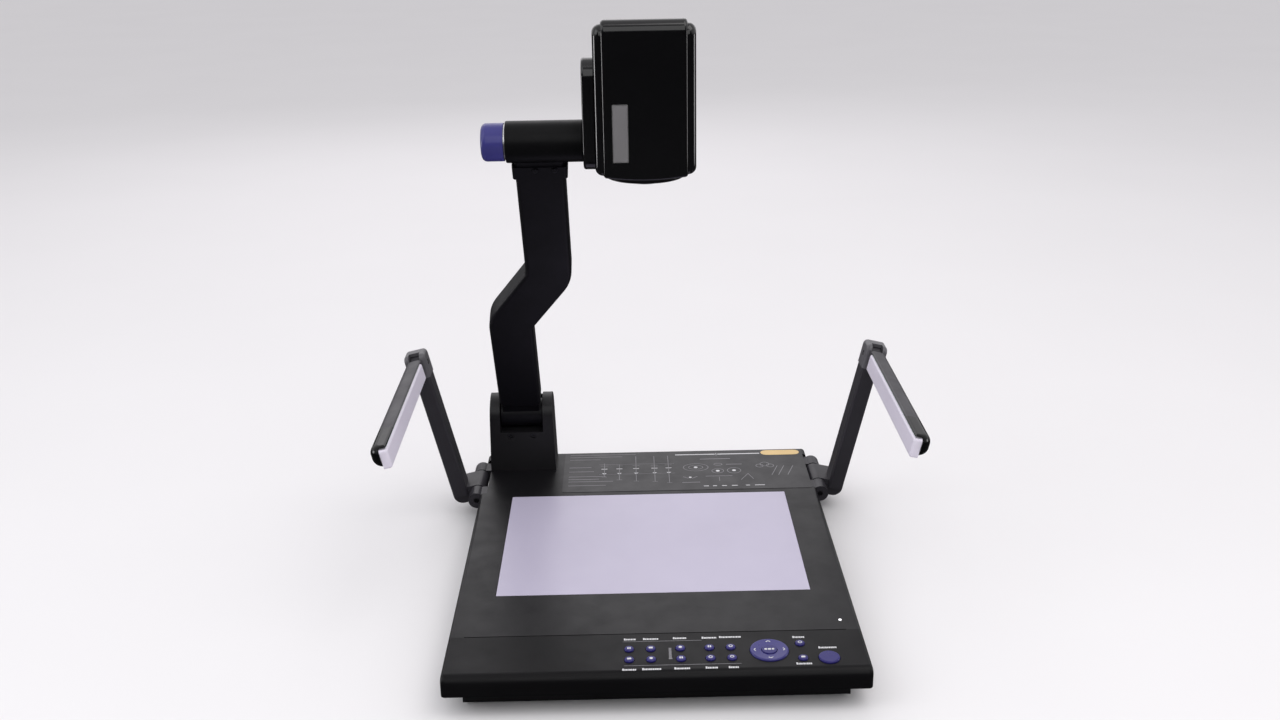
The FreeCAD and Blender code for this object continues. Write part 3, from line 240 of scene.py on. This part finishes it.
def finish_nodes():
    """Give each CAD node its material and soften its sharp edges a little, as a mould does."""
    finish_of = {node: material for material, nodes in FINISHES.items() for node in nodes}
    for name, node in frame["nodes"].items():
        material = finish_of.get(name, KEY)
        node.data.materials.clear()
        node.data.materials.append(material)
        smallest = min(node.dimensions)
        edge = node.modifiers.new("edges", "BEVEL")
        edge.width = min(0.35 * MM, smallest / 12)
        edge.segments = 2
        edge.limit_method = "ANGLE"
        edge.angle_limit = math.radians(40)
        edge.harden_normals = True


# ---- making pieces -------------------------------------------------------------------------------

class Solids:
    """Closed solids gathered into one piece: prisms on a flat, bands along a line, and turned rings."""

    def __init__(self):
        self.mesh = bmesh.new()
        self.place = Matrix.Identity(4)

    def prism(self, outline, low, high):
        bottom = [self.mesh.verts.new(self.place @ Vector((x, y, low))) for x, y in outline]
        top = [self.mesh.verts.new(self.place @ Vector((x, y, high))) for x, y in outline]
        self.mesh.faces.new(bottom[::-1])
        self.mesh.faces.new(top)
        for i in range(len(outline)):
            j = (i + 1) % len(outline)
            self.mesh.faces.new((bottom[i], bottom[j], top[j], top[i]))

    def slab(self, centre, width, depth, low, high, corner=0.0, turn=0.0):
        """A flat rectangle with round corners, turned by an angle in degrees."""
        corner = min(corner, width / 2, depth / 2)
        points = []
        for quarter, (sx, sy) in enumerate(((1, 1), (-1, 1), (-1, -1), (1, -1))):
            for step in range(4 if corner else 1):
                angle = math.radians(quarter * 90 + step * 30)
                points.append((
                    sx * (width / 2 - corner) + corner * math.cos(angle),
                    sy * (depth / 2 - corner) + corner * math.sin(angle),
                ))
        cos, sin = math.cos(math.radians(turn)), math.sin(math.radians(turn))
        turned = [(centre[0] + x * cos - y * sin, centre[1] + x * sin + y * cos) for x, y in points]
        self.prism(turned, low, high)

    def disc(self, centre, radius, low, high, sides=24):
        turns = [math.tau * i / sides for i in range(sides)]
        rim = [(centre[0] + radius * math.cos(a), centre[1] + radius * math.sin(a)) for a in turns]
        self.prism(rim, low, high)

    def stroke(self, points, width, low, high):
        """A line of one width through points."""
        left, right = [], []
        for i, point in enumerate(points):
            before = Vector(points[max(i - 1, 0)])
            after = Vector(points[min(i + 1, len(points) - 1)])
            along = (after - before).normalized()
            aside = Vector((-along.y, along.x)) * width / 2
            left.append((point[0] + aside.x, point[1] + aside.y))
            right.append((point[0] - aside.x, point[1] - aside.y))
        self.prism(right + left[::-1], low, high)

    def oval(self, centre, across, along, width, low, high, sides=32):
        """A closed band round an ellipse."""
        rings = []
        for reach, level in ((0, low), (-width, low), (-width, high), (0, high)):
            ring = []
            for i in range(sides):
                angle = math.tau * i / sides
                x = centre[0] + (across / 2 + reach) * math.cos(angle)
                y = centre[1] + (along / 2 + reach) * math.sin(angle)
                ring.append(self.mesh.verts.new(self.place @ Vector((x, y, level))))
            rings.append(ring)
        for ring, following in zip(rings, rings[1:] + rings[:1]):
            for i in range(sides):
                j = (i + 1) % sides
                self.mesh.faces.new((ring[i], ring[j], following[j], following[i]))

    def turned(self, profile, sides=64):
        """A closed profile of radius and height, turned about the local Z axis."""
        rings = []
        for radius, height in profile:
            turns = [math.tau * i / sides for i in range(sides)]
            spots = [Vector((radius * math.cos(a), radius * math.sin(a), height)) for a in turns]
            rings.append([self.mesh.verts.new(self.place @ spot) for spot in spots])
        for ring, following in zip(rings, rings[1:] + rings[:1]):
            for i in range(sides):
                j = (i + 1) % sides
                self.mesh.faces.new((ring[i], ring[j], following[j], following[i]))

    def piece(self, name, material, body, smooth=False):
        bmesh.ops.remove_doubles(self.mesh, verts=self.mesh.verts, dist=1e-7)
        bmesh.ops.recalc_face_normals(self.mesh, faces=self.mesh.faces)
        data = bpy.data.meshes.new(name)
        self.mesh.to_mesh(data)
        self.mesh.free()
        data.materials.append(material)
        if smooth:
            for face in data.polygons:
                face.use_smooth = True
        thing = bpy.data.objects.new(name, data)
        scene.collection.objects.link(thing)
        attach(thing, body)
        return thing


def middle(node):
    low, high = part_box(node)
    return (low + high) / 2


# ---- base: printed marks round the keys ----------------------------------------------------------

BASE_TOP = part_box("stage_panel")[1].z
WORD_HIGH = 3.1 * MM
# each printed word's left end, right end and middle line, in millimetres
WORDS = (
    (-28, -17.5, -175), (-11, 3.5, -175), (15.5, 28, -174.6), (41, 54, -174.9), (56.5, 76.5, -174.4),
    (-29.5, -16.5, -222.2), (-12.5, 4.5, -222), (15, 29, -221.9), (41.8, 53, -221.7), (61.5, 71, -221.8),
    (121.4, 132.7, -177), (119.8, 133.5, -218.6), (142, 157.8, -194.5),
)
UPRIGHT_WORD = (12.3, -207.5, -190)


def printed_word(solids, start, end, line, upright=False):
    """A word seen from afar: a run of small marks of uneven width, which spell nothing."""
    widths = (1.5, 1.1, 1.3, 0.8, 1.4, 1.0)
    at = start
    index = 0
    while at < end - 0.9:
        width = min(widths[index % len(widths)], end - at)
        tall = WORD_HIGH * (1 if index == 0 else 0.78)
        across, along = (at + width / 2) * MM, line * MM - (WORD_HIGH - tall) / 2
        if upright:
            across, along = line * MM, (at + width / 2) * MM
        size = (tall, width * MM) if upright else (width * MM, tall)
        solids.slab((across, along), *size, BASE_TOP, BASE_TOP + PRINT, corner=0.3 * MM)
        at += width + 0.3
        index += 1


def key_prints():
    """The words and the two thin lines beside the keys."""
    words = Solids()
    for start, end, line in WORDS:
        printed_word(words, start, end, line)
    words.piece("key_words", PRINT_WHITE, "base")
    lines = Solids()
    printed_word(lines, UPRIGHT_WORD[1], UPRIGHT_WORD[2], UPRIGHT_WORD[0], upright=True)
    thin = 0.5 * MM
    for start, end, line in ((-29, 41, -178.8), (-28, 73, -216.4)):
        points = [(start * MM, line * MM), (end * MM, line * MM)]
        lines.stroke(points, thin, BASE_TOP, BASE_TOP + PRINT)
    lines.piece("key_lines", PRINT_GREY, "base")


def key_symbols():
    """A plain symbol on each key but the power key, which goes down with it; four kinds take turns."""
    for index, name in enumerate(sorted(KEYS)):
        if name in ("ok_key", "power_key"):
            continue
        centre = middle(name)
        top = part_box(name)[1].z
        mark = Solids()
        kind = index % 4
        size = 3.6 * MM
        low, high = top - PRINT, top + PRINT
        if kind == 0:
            mark.oval(centre, size, size, 0.7 * MM, low, high)
        elif kind == 1:
            mark.slab(centre, size, size * 0.7, low, high, corner=0.6 * MM)
        elif kind == 2:
            mark.disc(centre, size * 0.42, low, high)
        else:
            for side in (-1, 1):
                bar = (centre.x + side * 0.9 * MM, centre.y)
                mark.slab(bar, 1.2 * MM, size * 0.8, low, high, corner=0.3 * MM)
        mark.piece(f"symbol_{name}", PRINT_WHITE, name)
    centre = middle("ok_key")
    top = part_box("ok_key")[1].z
    mark = Solids()
    for offset, width in ((-3.2, 2.2), (0, 2.8), (3.2, 2.2)):
        place = (centre.x + offset * MM, centre.y)
        mark.slab(place, width * MM, 2.4 * MM, top - PRINT, top + PRINT, corner=0.6 * MM)
    mark.piece("symbol_ok_key", PRINT_WHITE, "ok_key")
    centre = middle("direction_ring")
    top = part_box("direction_ring")[1].z
    mark = Solids()
    reach, wing, tip = 12 * MM, 1.9 * MM, 1.5 * MM
    for turn in range(4):
        outward = Vector((math.cos(turn * math.pi / 2), math.sin(turn * math.pi / 2)))
        aside = Vector((-outward.y, outward.x))
        spot = Vector((centre.x, centre.y)) + outward * reach
        points = [tuple(spot + aside * wing), tuple(spot + outward * tip), tuple(spot - aside * wing)]
        mark.stroke(points, 0.9 * MM, top - 0.6 * MM, top - 0.15 * MM)
    mark.piece("symbol_direction_ring", PRINT_WHITE, "direction_ring")


# ---- base: the printed instruction label ---------------------------------------------------------

LABEL_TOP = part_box("instruction_label")[1].z


def label_line(solids, start, end, width=0.5):
    """A printed line between two points in millimetres."""
    points = [(start[0] * MM, start[1] * MM), (end[0] * MM, end[1] * MM)]
    solids.stroke(points, width * MM, LABEL_TOP, LABEL_TOP + PRINT)


def label_arrow(solids, across, along, way):
    """A small solid arrowhead that points up or down the label."""
    half, tall = 2.6 * MM, 4.2 * MM * way
    x, y = across * MM, along * MM
    points = [(x - half, y), (x + half, y), (x, y + tall)]
    solids.prism(points if way > 0 else points[::-1], LABEL_TOP, LABEL_TOP + PRINT)


def instruction_label():
    """Rows of faint lines, plain diagrams of columns and ovals, and a blank gold sticker."""
    faint = Solids()
    bold = Solids()
    lines = ((220, 76), (214, 60), (207, 35), (186, 25), (175, 28), (162, 42), (155, 34), (149, 50), (139, 42))
    for along, length in lines:
        label_line(faint, (-89, along), (-89 + length, along), 1.0)
    columns = (-49, -32, -13, 8, 24)
    heights = ((196, 160), (193, 152), (214, 148), (214, 146), (214, 142))
    for across, (high, low) in zip(columns, heights):
        label_line(faint, (across, low), (across, high), 0.7)
        label_line(bold, (across - 3.4, 181), (across + 3.4, 181), 1.3)
        label_arrow(bold, across, 170, -1)
        label_line(faint, (across - 4, 189), (across + 4, 189), 0.6)
        label_line(faint, (across - 3, low), (across + 3, low), 0.6)
    for along in (167, 193):
        label_line(faint, (-55, along), (31, along), 0.5)
    label_line(bold, (33, 216), (79, 216), 2.0)
    label_line(bold, (82, 216), (131, 216), 2.0)
    label_line(bold, (80.5, 213), (80.5, 219), 0.6)
    label_line(faint, (61, 203), (96, 203), 1.4)
    ovals = ((55, 181, 29, 20), (55, 181, 17, 11), (81, 188, 10, 6), (79.5, 170.5, 14, 12), (98, 171, 16, 15))
    for across, along, width, depth in ovals:
        size = (width * MM, depth * MM)
        faint.oval((across * MM, along * MM), *size, 0.7 * MM, LABEL_TOP, LABEL_TOP + PRINT)
    for across, along in ((55, 181), (79.5, 170.5), (98, 171)):
        bold.disc((across * MM, along * MM), 2.2 * MM, LABEL_TOP, LABEL_TOP + PRINT)
    label_line(faint, (90, 187.5), (108, 187.5), 1.2)
    for across, along, size in ((128, 182, 9), (134, 186, 11), (140, 182, 9)):
        faint.oval((across * MM, along * MM), size * MM, size * MM, 0.8 * MM, LABEL_TOP, LABEL_TOP + PRINT)
    label_line(faint, (65, 157), (95, 157), 1.0)
    label_line(faint, (80, 144), (80, 155), 0.6)
    for side in (-1, 1):
        label_line(faint, (47.5 + side * 2, 152), (47.5 + side * 8, 157), 0.8)
    bold.disc((47.5 * MM, 155 * MM), 1.6 * MM, LABEL_TOP, LABEL_TOP + PRINT)
    label_line(faint, (38, 142), (58, 142), 1.2)
    for start, end in ((61.5, 67), (71.5, 76), (81.5, 87), (92.5, 99), (108, 112.5), (118, 129)):
        label_line(bold, (start, 132), (end, 132), 1.4)
    label_line(faint, (104, 146), (113, 162), 0.8)
    label_line(faint, (113, 162), (118, 148), 0.8)
    for start in (139.5, 147, 157.5):
        label_line(faint, (start, 157), (start + 8.5, 181), 0.8)
    faint.piece("label_lines", PRINT_GREY, "base")
    bold.piece("label_marks", PRINT_WHITE, "base")
    sticker = Solids()
    size = (45 * MM, 13 * MM)
    sticker.slab((155 * MM, 217.5 * MM), *size, LABEL_TOP, LABEL_TOP + 2 * PRINT, corner=6.5 * MM)
    sticker.piece("gold_sticker", GOLD, "base")


# ---- screws, sockets and vents -------------------------------------------------------------------

SCREW_HEAD = 2.6 * MM


def cross_recess(solids, radius):
    """A dark cross on a screw's head, a little above the head's face at local Z 0: painted shade of the cross
    recess.
    """
    for turn, top in ((20, PRINT), (110, PRINT * 1.225)):
        solids.slab((0, 0), radius * 1.3, radius * 0.32, -0.02 * MM, top, corner=0.1 * MM, turn=turn)


def joint_of(child):
    return next(joint for joint in frame["joints"] if joint["child"] == child)


def arm_frame():
    """The arm's own frame at rest: origin on its hinge, Z along the arm, -Y out of its front."""
    hinge = Vector(joint_of("camera_arm")["pos_m"])
    tube = Vector(joint_of("camera_head")["pos_m"])
    along = Vector((0, tube.y - hinge.y, tube.z - hinge.z)).normalized()
    lean = math.atan2(-along.y, along.z)
    return Matrix.Translation(hinge) @ Matrix.Rotation(lean, 4, "X")


def islands(node):
    """The middle of each separate solid of a CAD node, with its lowest and highest corner."""
    mesh = bmesh.new()
    mesh.from_mesh(frame["nodes"][node].data)
    bmesh.ops.remove_doubles(mesh, verts=mesh.verts, dist=1e-6)
    left = set(mesh.verts)
    found = []
    for first in mesh.verts:
        if first not in left:
            continue
        left.remove(first)
        queue = [first]
        spots = [first.co.copy()]
        while queue:
            vert = queue.pop()
            for edge in vert.link_edges:
                other = edge.other_vert(vert)
                if other in left:
                    left.remove(other)
                    queue.append(other)
                    spots.append(other.co.copy())
        low = Vector(min(spot[i] for spot in spots) for i in range(3))
        high = Vector(max(spot[i] for spot in spots) for i in range(3))
        found.append(((low + high) / 2, low, high))
    mesh.free()
    return found


def screw_crosses():
    """A dark cross on each screw's head: painted shade of its recess."""
    arm = arm_frame()
    marks = Solids()
    for centre, _, _ in islands("arm_screws"):
        local = arm.inverted() @ centre
        face = Matrix.Translation((local.x, local.y - 0.7 * MM, local.z)) @ Matrix.Rotation(math.pi / 2, 4, "X")
        marks.place = arm @ face
        cross_recess(marks, SCREW_HEAD)
    marks.piece("arm_screw_crosses", DARK, "camera_arm")
    marks = Solids()
    for centre, low, _ in islands("case_screws"):
        on_column = low.z > BASE_TOP
        if on_column:
            turn = Matrix.Rotation(math.pi / 2, 4, "X")
            marks.place = Matrix.Translation((centre.x, low.y, centre.z)) @ turn
        else:
            turn = Matrix.Rotation(math.pi, 4, "X")
            marks.place = Matrix.Translation((centre.x, centre.y, low.z)) @ turn
        cross_recess(marks, SCREW_HEAD)
    marks.piece("case_screw_crosses", DARK, "base")


def socket_contacts():
    """Tongues and contacts inside the rear sockets."""
    tongues = Solids()
    contacts = Solids()
    for centre, low, high in islands("rear_sockets"):
        width, tall = high.x - low.x, high.z - low.z
        if width < 12 * MM:
            continue
        back, front = high.y - 10.8 * MM, high.y - 2.5 * MM
        if tall < 8 * MM:
            left, right = low.x + 3 * MM, high.x - 3 * MM
            points = [(left, back), (right, back), (right, front), (left, front)]
            tongues.prism(points, centre.z - 0.5 * MM, centre.z + 0.5 * MM)
            for i in range(4):
                x = centre.x + (i - 1.5) * width / 7
                left, right = x - 0.5 * MM, x + 0.5 * MM
                points = [(left, back), (right, back), (right, front), (left, front)]
                contacts.prism(points, centre.z + 0.5 * MM, centre.z + 0.62 * MM)
        else:
            turn = Matrix.Rotation(math.pi / 2, 4, "X")
            for row in (1.2, -1.2):
                for i in range(5):
                    x = centre.x + (i - 2) * width / 6.5
                    contacts.place = Matrix.Translation((x, front, centre.z + row * MM)) @ turn
                    contacts.disc((0, 0), 0.4 * MM, 0, front - back, sides=10)
            contacts.place = Matrix.Identity(4)
    tongues.piece("socket_tongues", DARK, "base")
    contacts.piece("socket_contacts", BRASS, "base")


def vents():
    """Rows of cooling slots, drawn as dark inlays in the tray's underside and sides: painted shade of the
    slots' openings.
    """
    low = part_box("bottom_tray")[0].z
    slots = Solids()
    for column in range(12):
        across = (-66 + column * 12) * MM
        slots.slab((across, 60 * MM), 3 * MM, 60 * MM, low - PRINT, low + PRINT, corner=1.5 * MM)
    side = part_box("top_cover")[1].x - 16 * MM
    for sign in (-1, 1):
        for column in range(10):
            along = (-120 + column * 9) * MM
            turn = Matrix.Rotation(math.pi / 2, 4, "Y")
            slots.place = Matrix.Translation((sign * side, along, 12 * MM)) @ turn
            slots.slab((0, 0), 9 * MM, 3 * MM, -PRINT, PRINT, corner=1.5 * MM)
    slots.place = Matrix.Identity(4)
    slots.piece("cooling_slots", DARK, "base")
    plate = Solids()
    plate.slab((0, -100 * MM), 90 * MM, 45 * MM, low - PRINT, low + PRINT, corner=2 * MM)
    plate.piece("rating_plate", BADGE, "base")


# ---- camera head, knob and lamps -----------------------------------------------------------------

def camera_optics():
    """The lens behind the window: a stepped black barrel with a curved front glass."""
    centre = middle("lens_window")
    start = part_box("camera_module")[0].z
    barrel = Solids()
    barrel.place = Matrix.Translation((centre.x, centre.y, start))
    profile = [(17.5 * MM, 0)]
    for step in range(5):
        radius = (17.5 - step * 2) * MM
        profile += [(radius - 1 * MM, -1.2 * MM), (radius - 2 * MM, -0.4 * MM)]
    profile += [(7.5 * MM, 0)]
    barrel.turned(profile)
    barrel.piece("lens_baffle", GLOSS, "camera_head")
    optic = Solids()
    optic.place = Matrix.Translation((centre.x, centre.y, start))
    cap = [(7.4 * MM * math.cos(a), -1.6 * MM * math.sin(a) - 0.05 * MM) for a in (0, 0.4, 0.8, 1.2, 1.5)]
    optic.turned(cap + [(0.05 * MM, -0.02 * MM), (7.4 * MM, -0.02 * MM)])
    optic.piece("front_lens", OPTIC, "camera_head", smooth=True)


def badge_frame():
    """A thin raised rim round the blank badge."""
    low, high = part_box("head_badge")
    centre = (low + high) / 2
    rim = Solids()
    rim.place = Matrix.Translation((centre.x, low.y, centre.z)) @ Matrix.Rotation(math.pi / 2, 4, "X")
    width, tall, wall = high.x - low.x, high.z - low.z, 0.6 * MM
    for side in (-1, 1):
        rim.slab((side * (width - wall) / 2, 0), wall, tall - 1 * MM, -PRINT, 3 * PRINT)
        rim.slab((0, side * (tall - wall) / 2), width - 2 * wall, wall, -PRINT, 3 * PRINT)
    rim.piece("badge_rim", STEEL, "camera_head")


def knob_details():
    """A bright ring in the gap behind the knob."""
    pivot = Vector(joint_of("focus_knob")["pos_m"])
    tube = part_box("head_tube")[0].x
    ring = Solids()
    turn = Matrix.Rotation(math.pi / 2, 4, "Y")
    ring.place = Matrix.Translation((tube - 0.75 * MM, pivot.y, pivot.z)) @ turn
    half = 0.55 * MM
    ring.turned([(8 * MM, -half), (16 * MM, -half), (16 * MM, half), (8 * MM, half)])
    ring.piece("tube_washer", STEEL, "camera_arm")


def lamp_details():
    """A dark six-sided mark on each end of the pin that each lamp tilts on."""
    for name in ("left", "right"):
        tilt = joint_of(f"lamp_{name}")
        pivot = Vector(tilt["pos_m"])
        axis = Vector(tilt["axis"]).normalized()
        turn = Vector((0, 0, 1)).rotation_difference(axis).to_matrix().to_4x4()
        marks = Solids()
        half = 11.1 * MM
        for way in (-1, 1):
            face = Matrix.Translation(pivot) @ turn @ Matrix.Translation((0, 0, way * half))
            marks.place = face
            marks.oval((0, 0), 6.0 * MM, 6.0 * MM, 0.9 * MM, -0.2 * MM, 0.2 * MM, sides=6)
        marks.piece(f"pivot_nut_{name}", DARK, f"lamp_arm_{name}")


# ---- floor, light and camera ---------------------------------------------------------------------

def soft_room():
    """Even light from overhead, both sides and behind, and a dim room in front that the camera sees as pale."""
    world = bpy.data.worlds.new("studio")
    world.use_nodes = True
    tree = world.node_tree
    where = tree.nodes.new("ShaderNodeTexCoord")
    parts = tree.nodes.new("ShaderNodeSeparateXYZ")
    tree.links.new(where.outputs["Generated"], parts.inputs["Vector"])
    total = None
    for axis, weight in (("X", 0.5), ("Y", 0.6), ("Z", 0.8)):
        share = parts.outputs[axis]
        if axis == "X":
            side = tree.nodes.new("ShaderNodeMath")
            side.operation = "ABSOLUTE"
            tree.links.new(share, side.inputs[0])
            share = side.outputs["Value"]
        node = tree.nodes.new("ShaderNodeMath")
        node.operation = "MULTIPLY_ADD"
        node.inputs[1].default_value = weight
        node.inputs[2].default_value = 0.0
        tree.links.new(share, node.inputs[0])
        if total is not None:
            tree.links.new(total, node.inputs[2])
        total = node.outputs["Value"]
    tone = ramp(tree, total, (0.05, 0.05, 0.055), (0.84, 0.83, 0.85), 0.05, 0.55)
    path = tree.nodes.new("ShaderNodeLightPath")
    seen = tree.nodes.new("ShaderNodeVectorMath")
    seen.operation = "MAXIMUM"
    tree.links.new(tone, seen.inputs[0])
    tree.links.new(ramp(tree, path.outputs["Is Camera Ray"], 0.0, 0.66, 0, 1), seen.inputs[1])
    background = tree.nodes["Background"]
    tree.links.new(seen.outputs["Vector"], background.inputs["Color"])
    background.inputs["Strength"].default_value = 1.0
    return world


def studio():
    """A pale floor that is dim in reflections, four soft lights, and two that show only in reflections."""
    floor_material, tree, shader = new_material("floor_paper")
    tone = ramp(tree, noise(tree, 3, 2), (0.813, 0.803, 0.813), (0.823, 0.813, 0.823))
    path = tree.nodes.new("ShaderNodeLightPath")
    dimmed = tree.nodes.new("ShaderNodeVectorMath")
    dimmed.operation = "MULTIPLY"
    tree.links.new(tone, dimmed.inputs[0])
    tree.links.new(ramp(tree, path.outputs["Is Glossy Ray"], 1.0, 0.08, 0, 1), dimmed.inputs[1])
    tree.links.new(dimmed.outputs["Vector"], shader.inputs["Base Color"])
    shader.inputs["Roughness"].default_value = 0.75
    shader.inputs["Specular IOR Level"].default_value = 0.0
    mesh = bpy.data.meshes.new("floor")
    reach = 30.0
    corners = [(-reach, -reach, 0), (reach, -reach, 0), (reach, reach, 0), (-reach, reach, 0)]
    mesh.from_pydata(corners, [], [(0, 1, 2, 3)])
    mesh.materials.append(floor_material)
    floor = bpy.data.objects.new("floor", mesh)
    scene.collection.objects.link(floor)
    scene.world = soft_room()
    lights = (
        ("key_light", (0.9, -0.5, 2.3), 1.6, 14, (1.0, 0.98, 0.97)),
        ("fill_light", (-1.6, -0.7, 1.6), 1.4, 8, (0.96, 0.98, 1.0)),
        ("rear_light", (-0.3, 2.0, 1.6), 1.8, 8, (1.0, 0.97, 1.0)),
        ("front_light", (0.1, -1.9, 1.5), 1.6, 12, (1.0, 1.0, 1.0)),
        ("left_strip", (-1.6, 0.2, 0.30), 0.40, 4, (1.0, 0.98, 1.0)),
        ("right_strip", (1.6, 0.2, 0.30), 0.40, 2.5, (1.0, 0.98, 1.0)),
    )
    for name, place, size, power, color in lights:
        data = bpy.data.lights.new(name, "AREA")
        data.size = size
        data.energy = power
        data.color = color
        light = bpy.data.objects.new(name, data)
        light.location = place
        aim = Vector((0, 0, 0.15)) - Vector(place)
        light.rotation_euler = aim.to_track_quat("-Z", "Y").to_euler()
        light.visible_diffuse = not name.endswith("strip")
        scene.collection.objects.link(light)


def add_camera():
    """A camera in front of the base and above it, looking down at the stage."""
    pitch, yaw, roll = (math.radians(angle) for angle in (20.338, 0.489, -0.990))
    forward = Vector((math.sin(yaw) * math.cos(pitch), math.cos(yaw) * math.cos(pitch), -math.sin(pitch)))
    level = Vector((math.cos(yaw), -math.sin(yaw), 0))
    upright = level.cross(forward)
    right = math.cos(roll) * level + math.sin(roll) * upright
    up = -math.sin(roll) * level + math.cos(roll) * upright
    data = bpy.data.cameras.new("camera")
    data.sensor_width = 36
    data.lens = 37.10
    camera = bpy.data.objects.new("camera", data)
    turn = Matrix((right, up, -forward)).transposed().to_4x4()
    camera.matrix_world = Matrix.Translation((-0.01804, -1.18640, 0.67905)) @ turn
    scene.collection.objects.link(camera)
    scene.camera = camera


finish_nodes()
key_prints()
key_symbols()
instruction_label()
screw_crosses()
socket_contacts()
vents()
camera_optics()
badge_frame()
knob_details()
lamp_details()
studio()
add_camera()
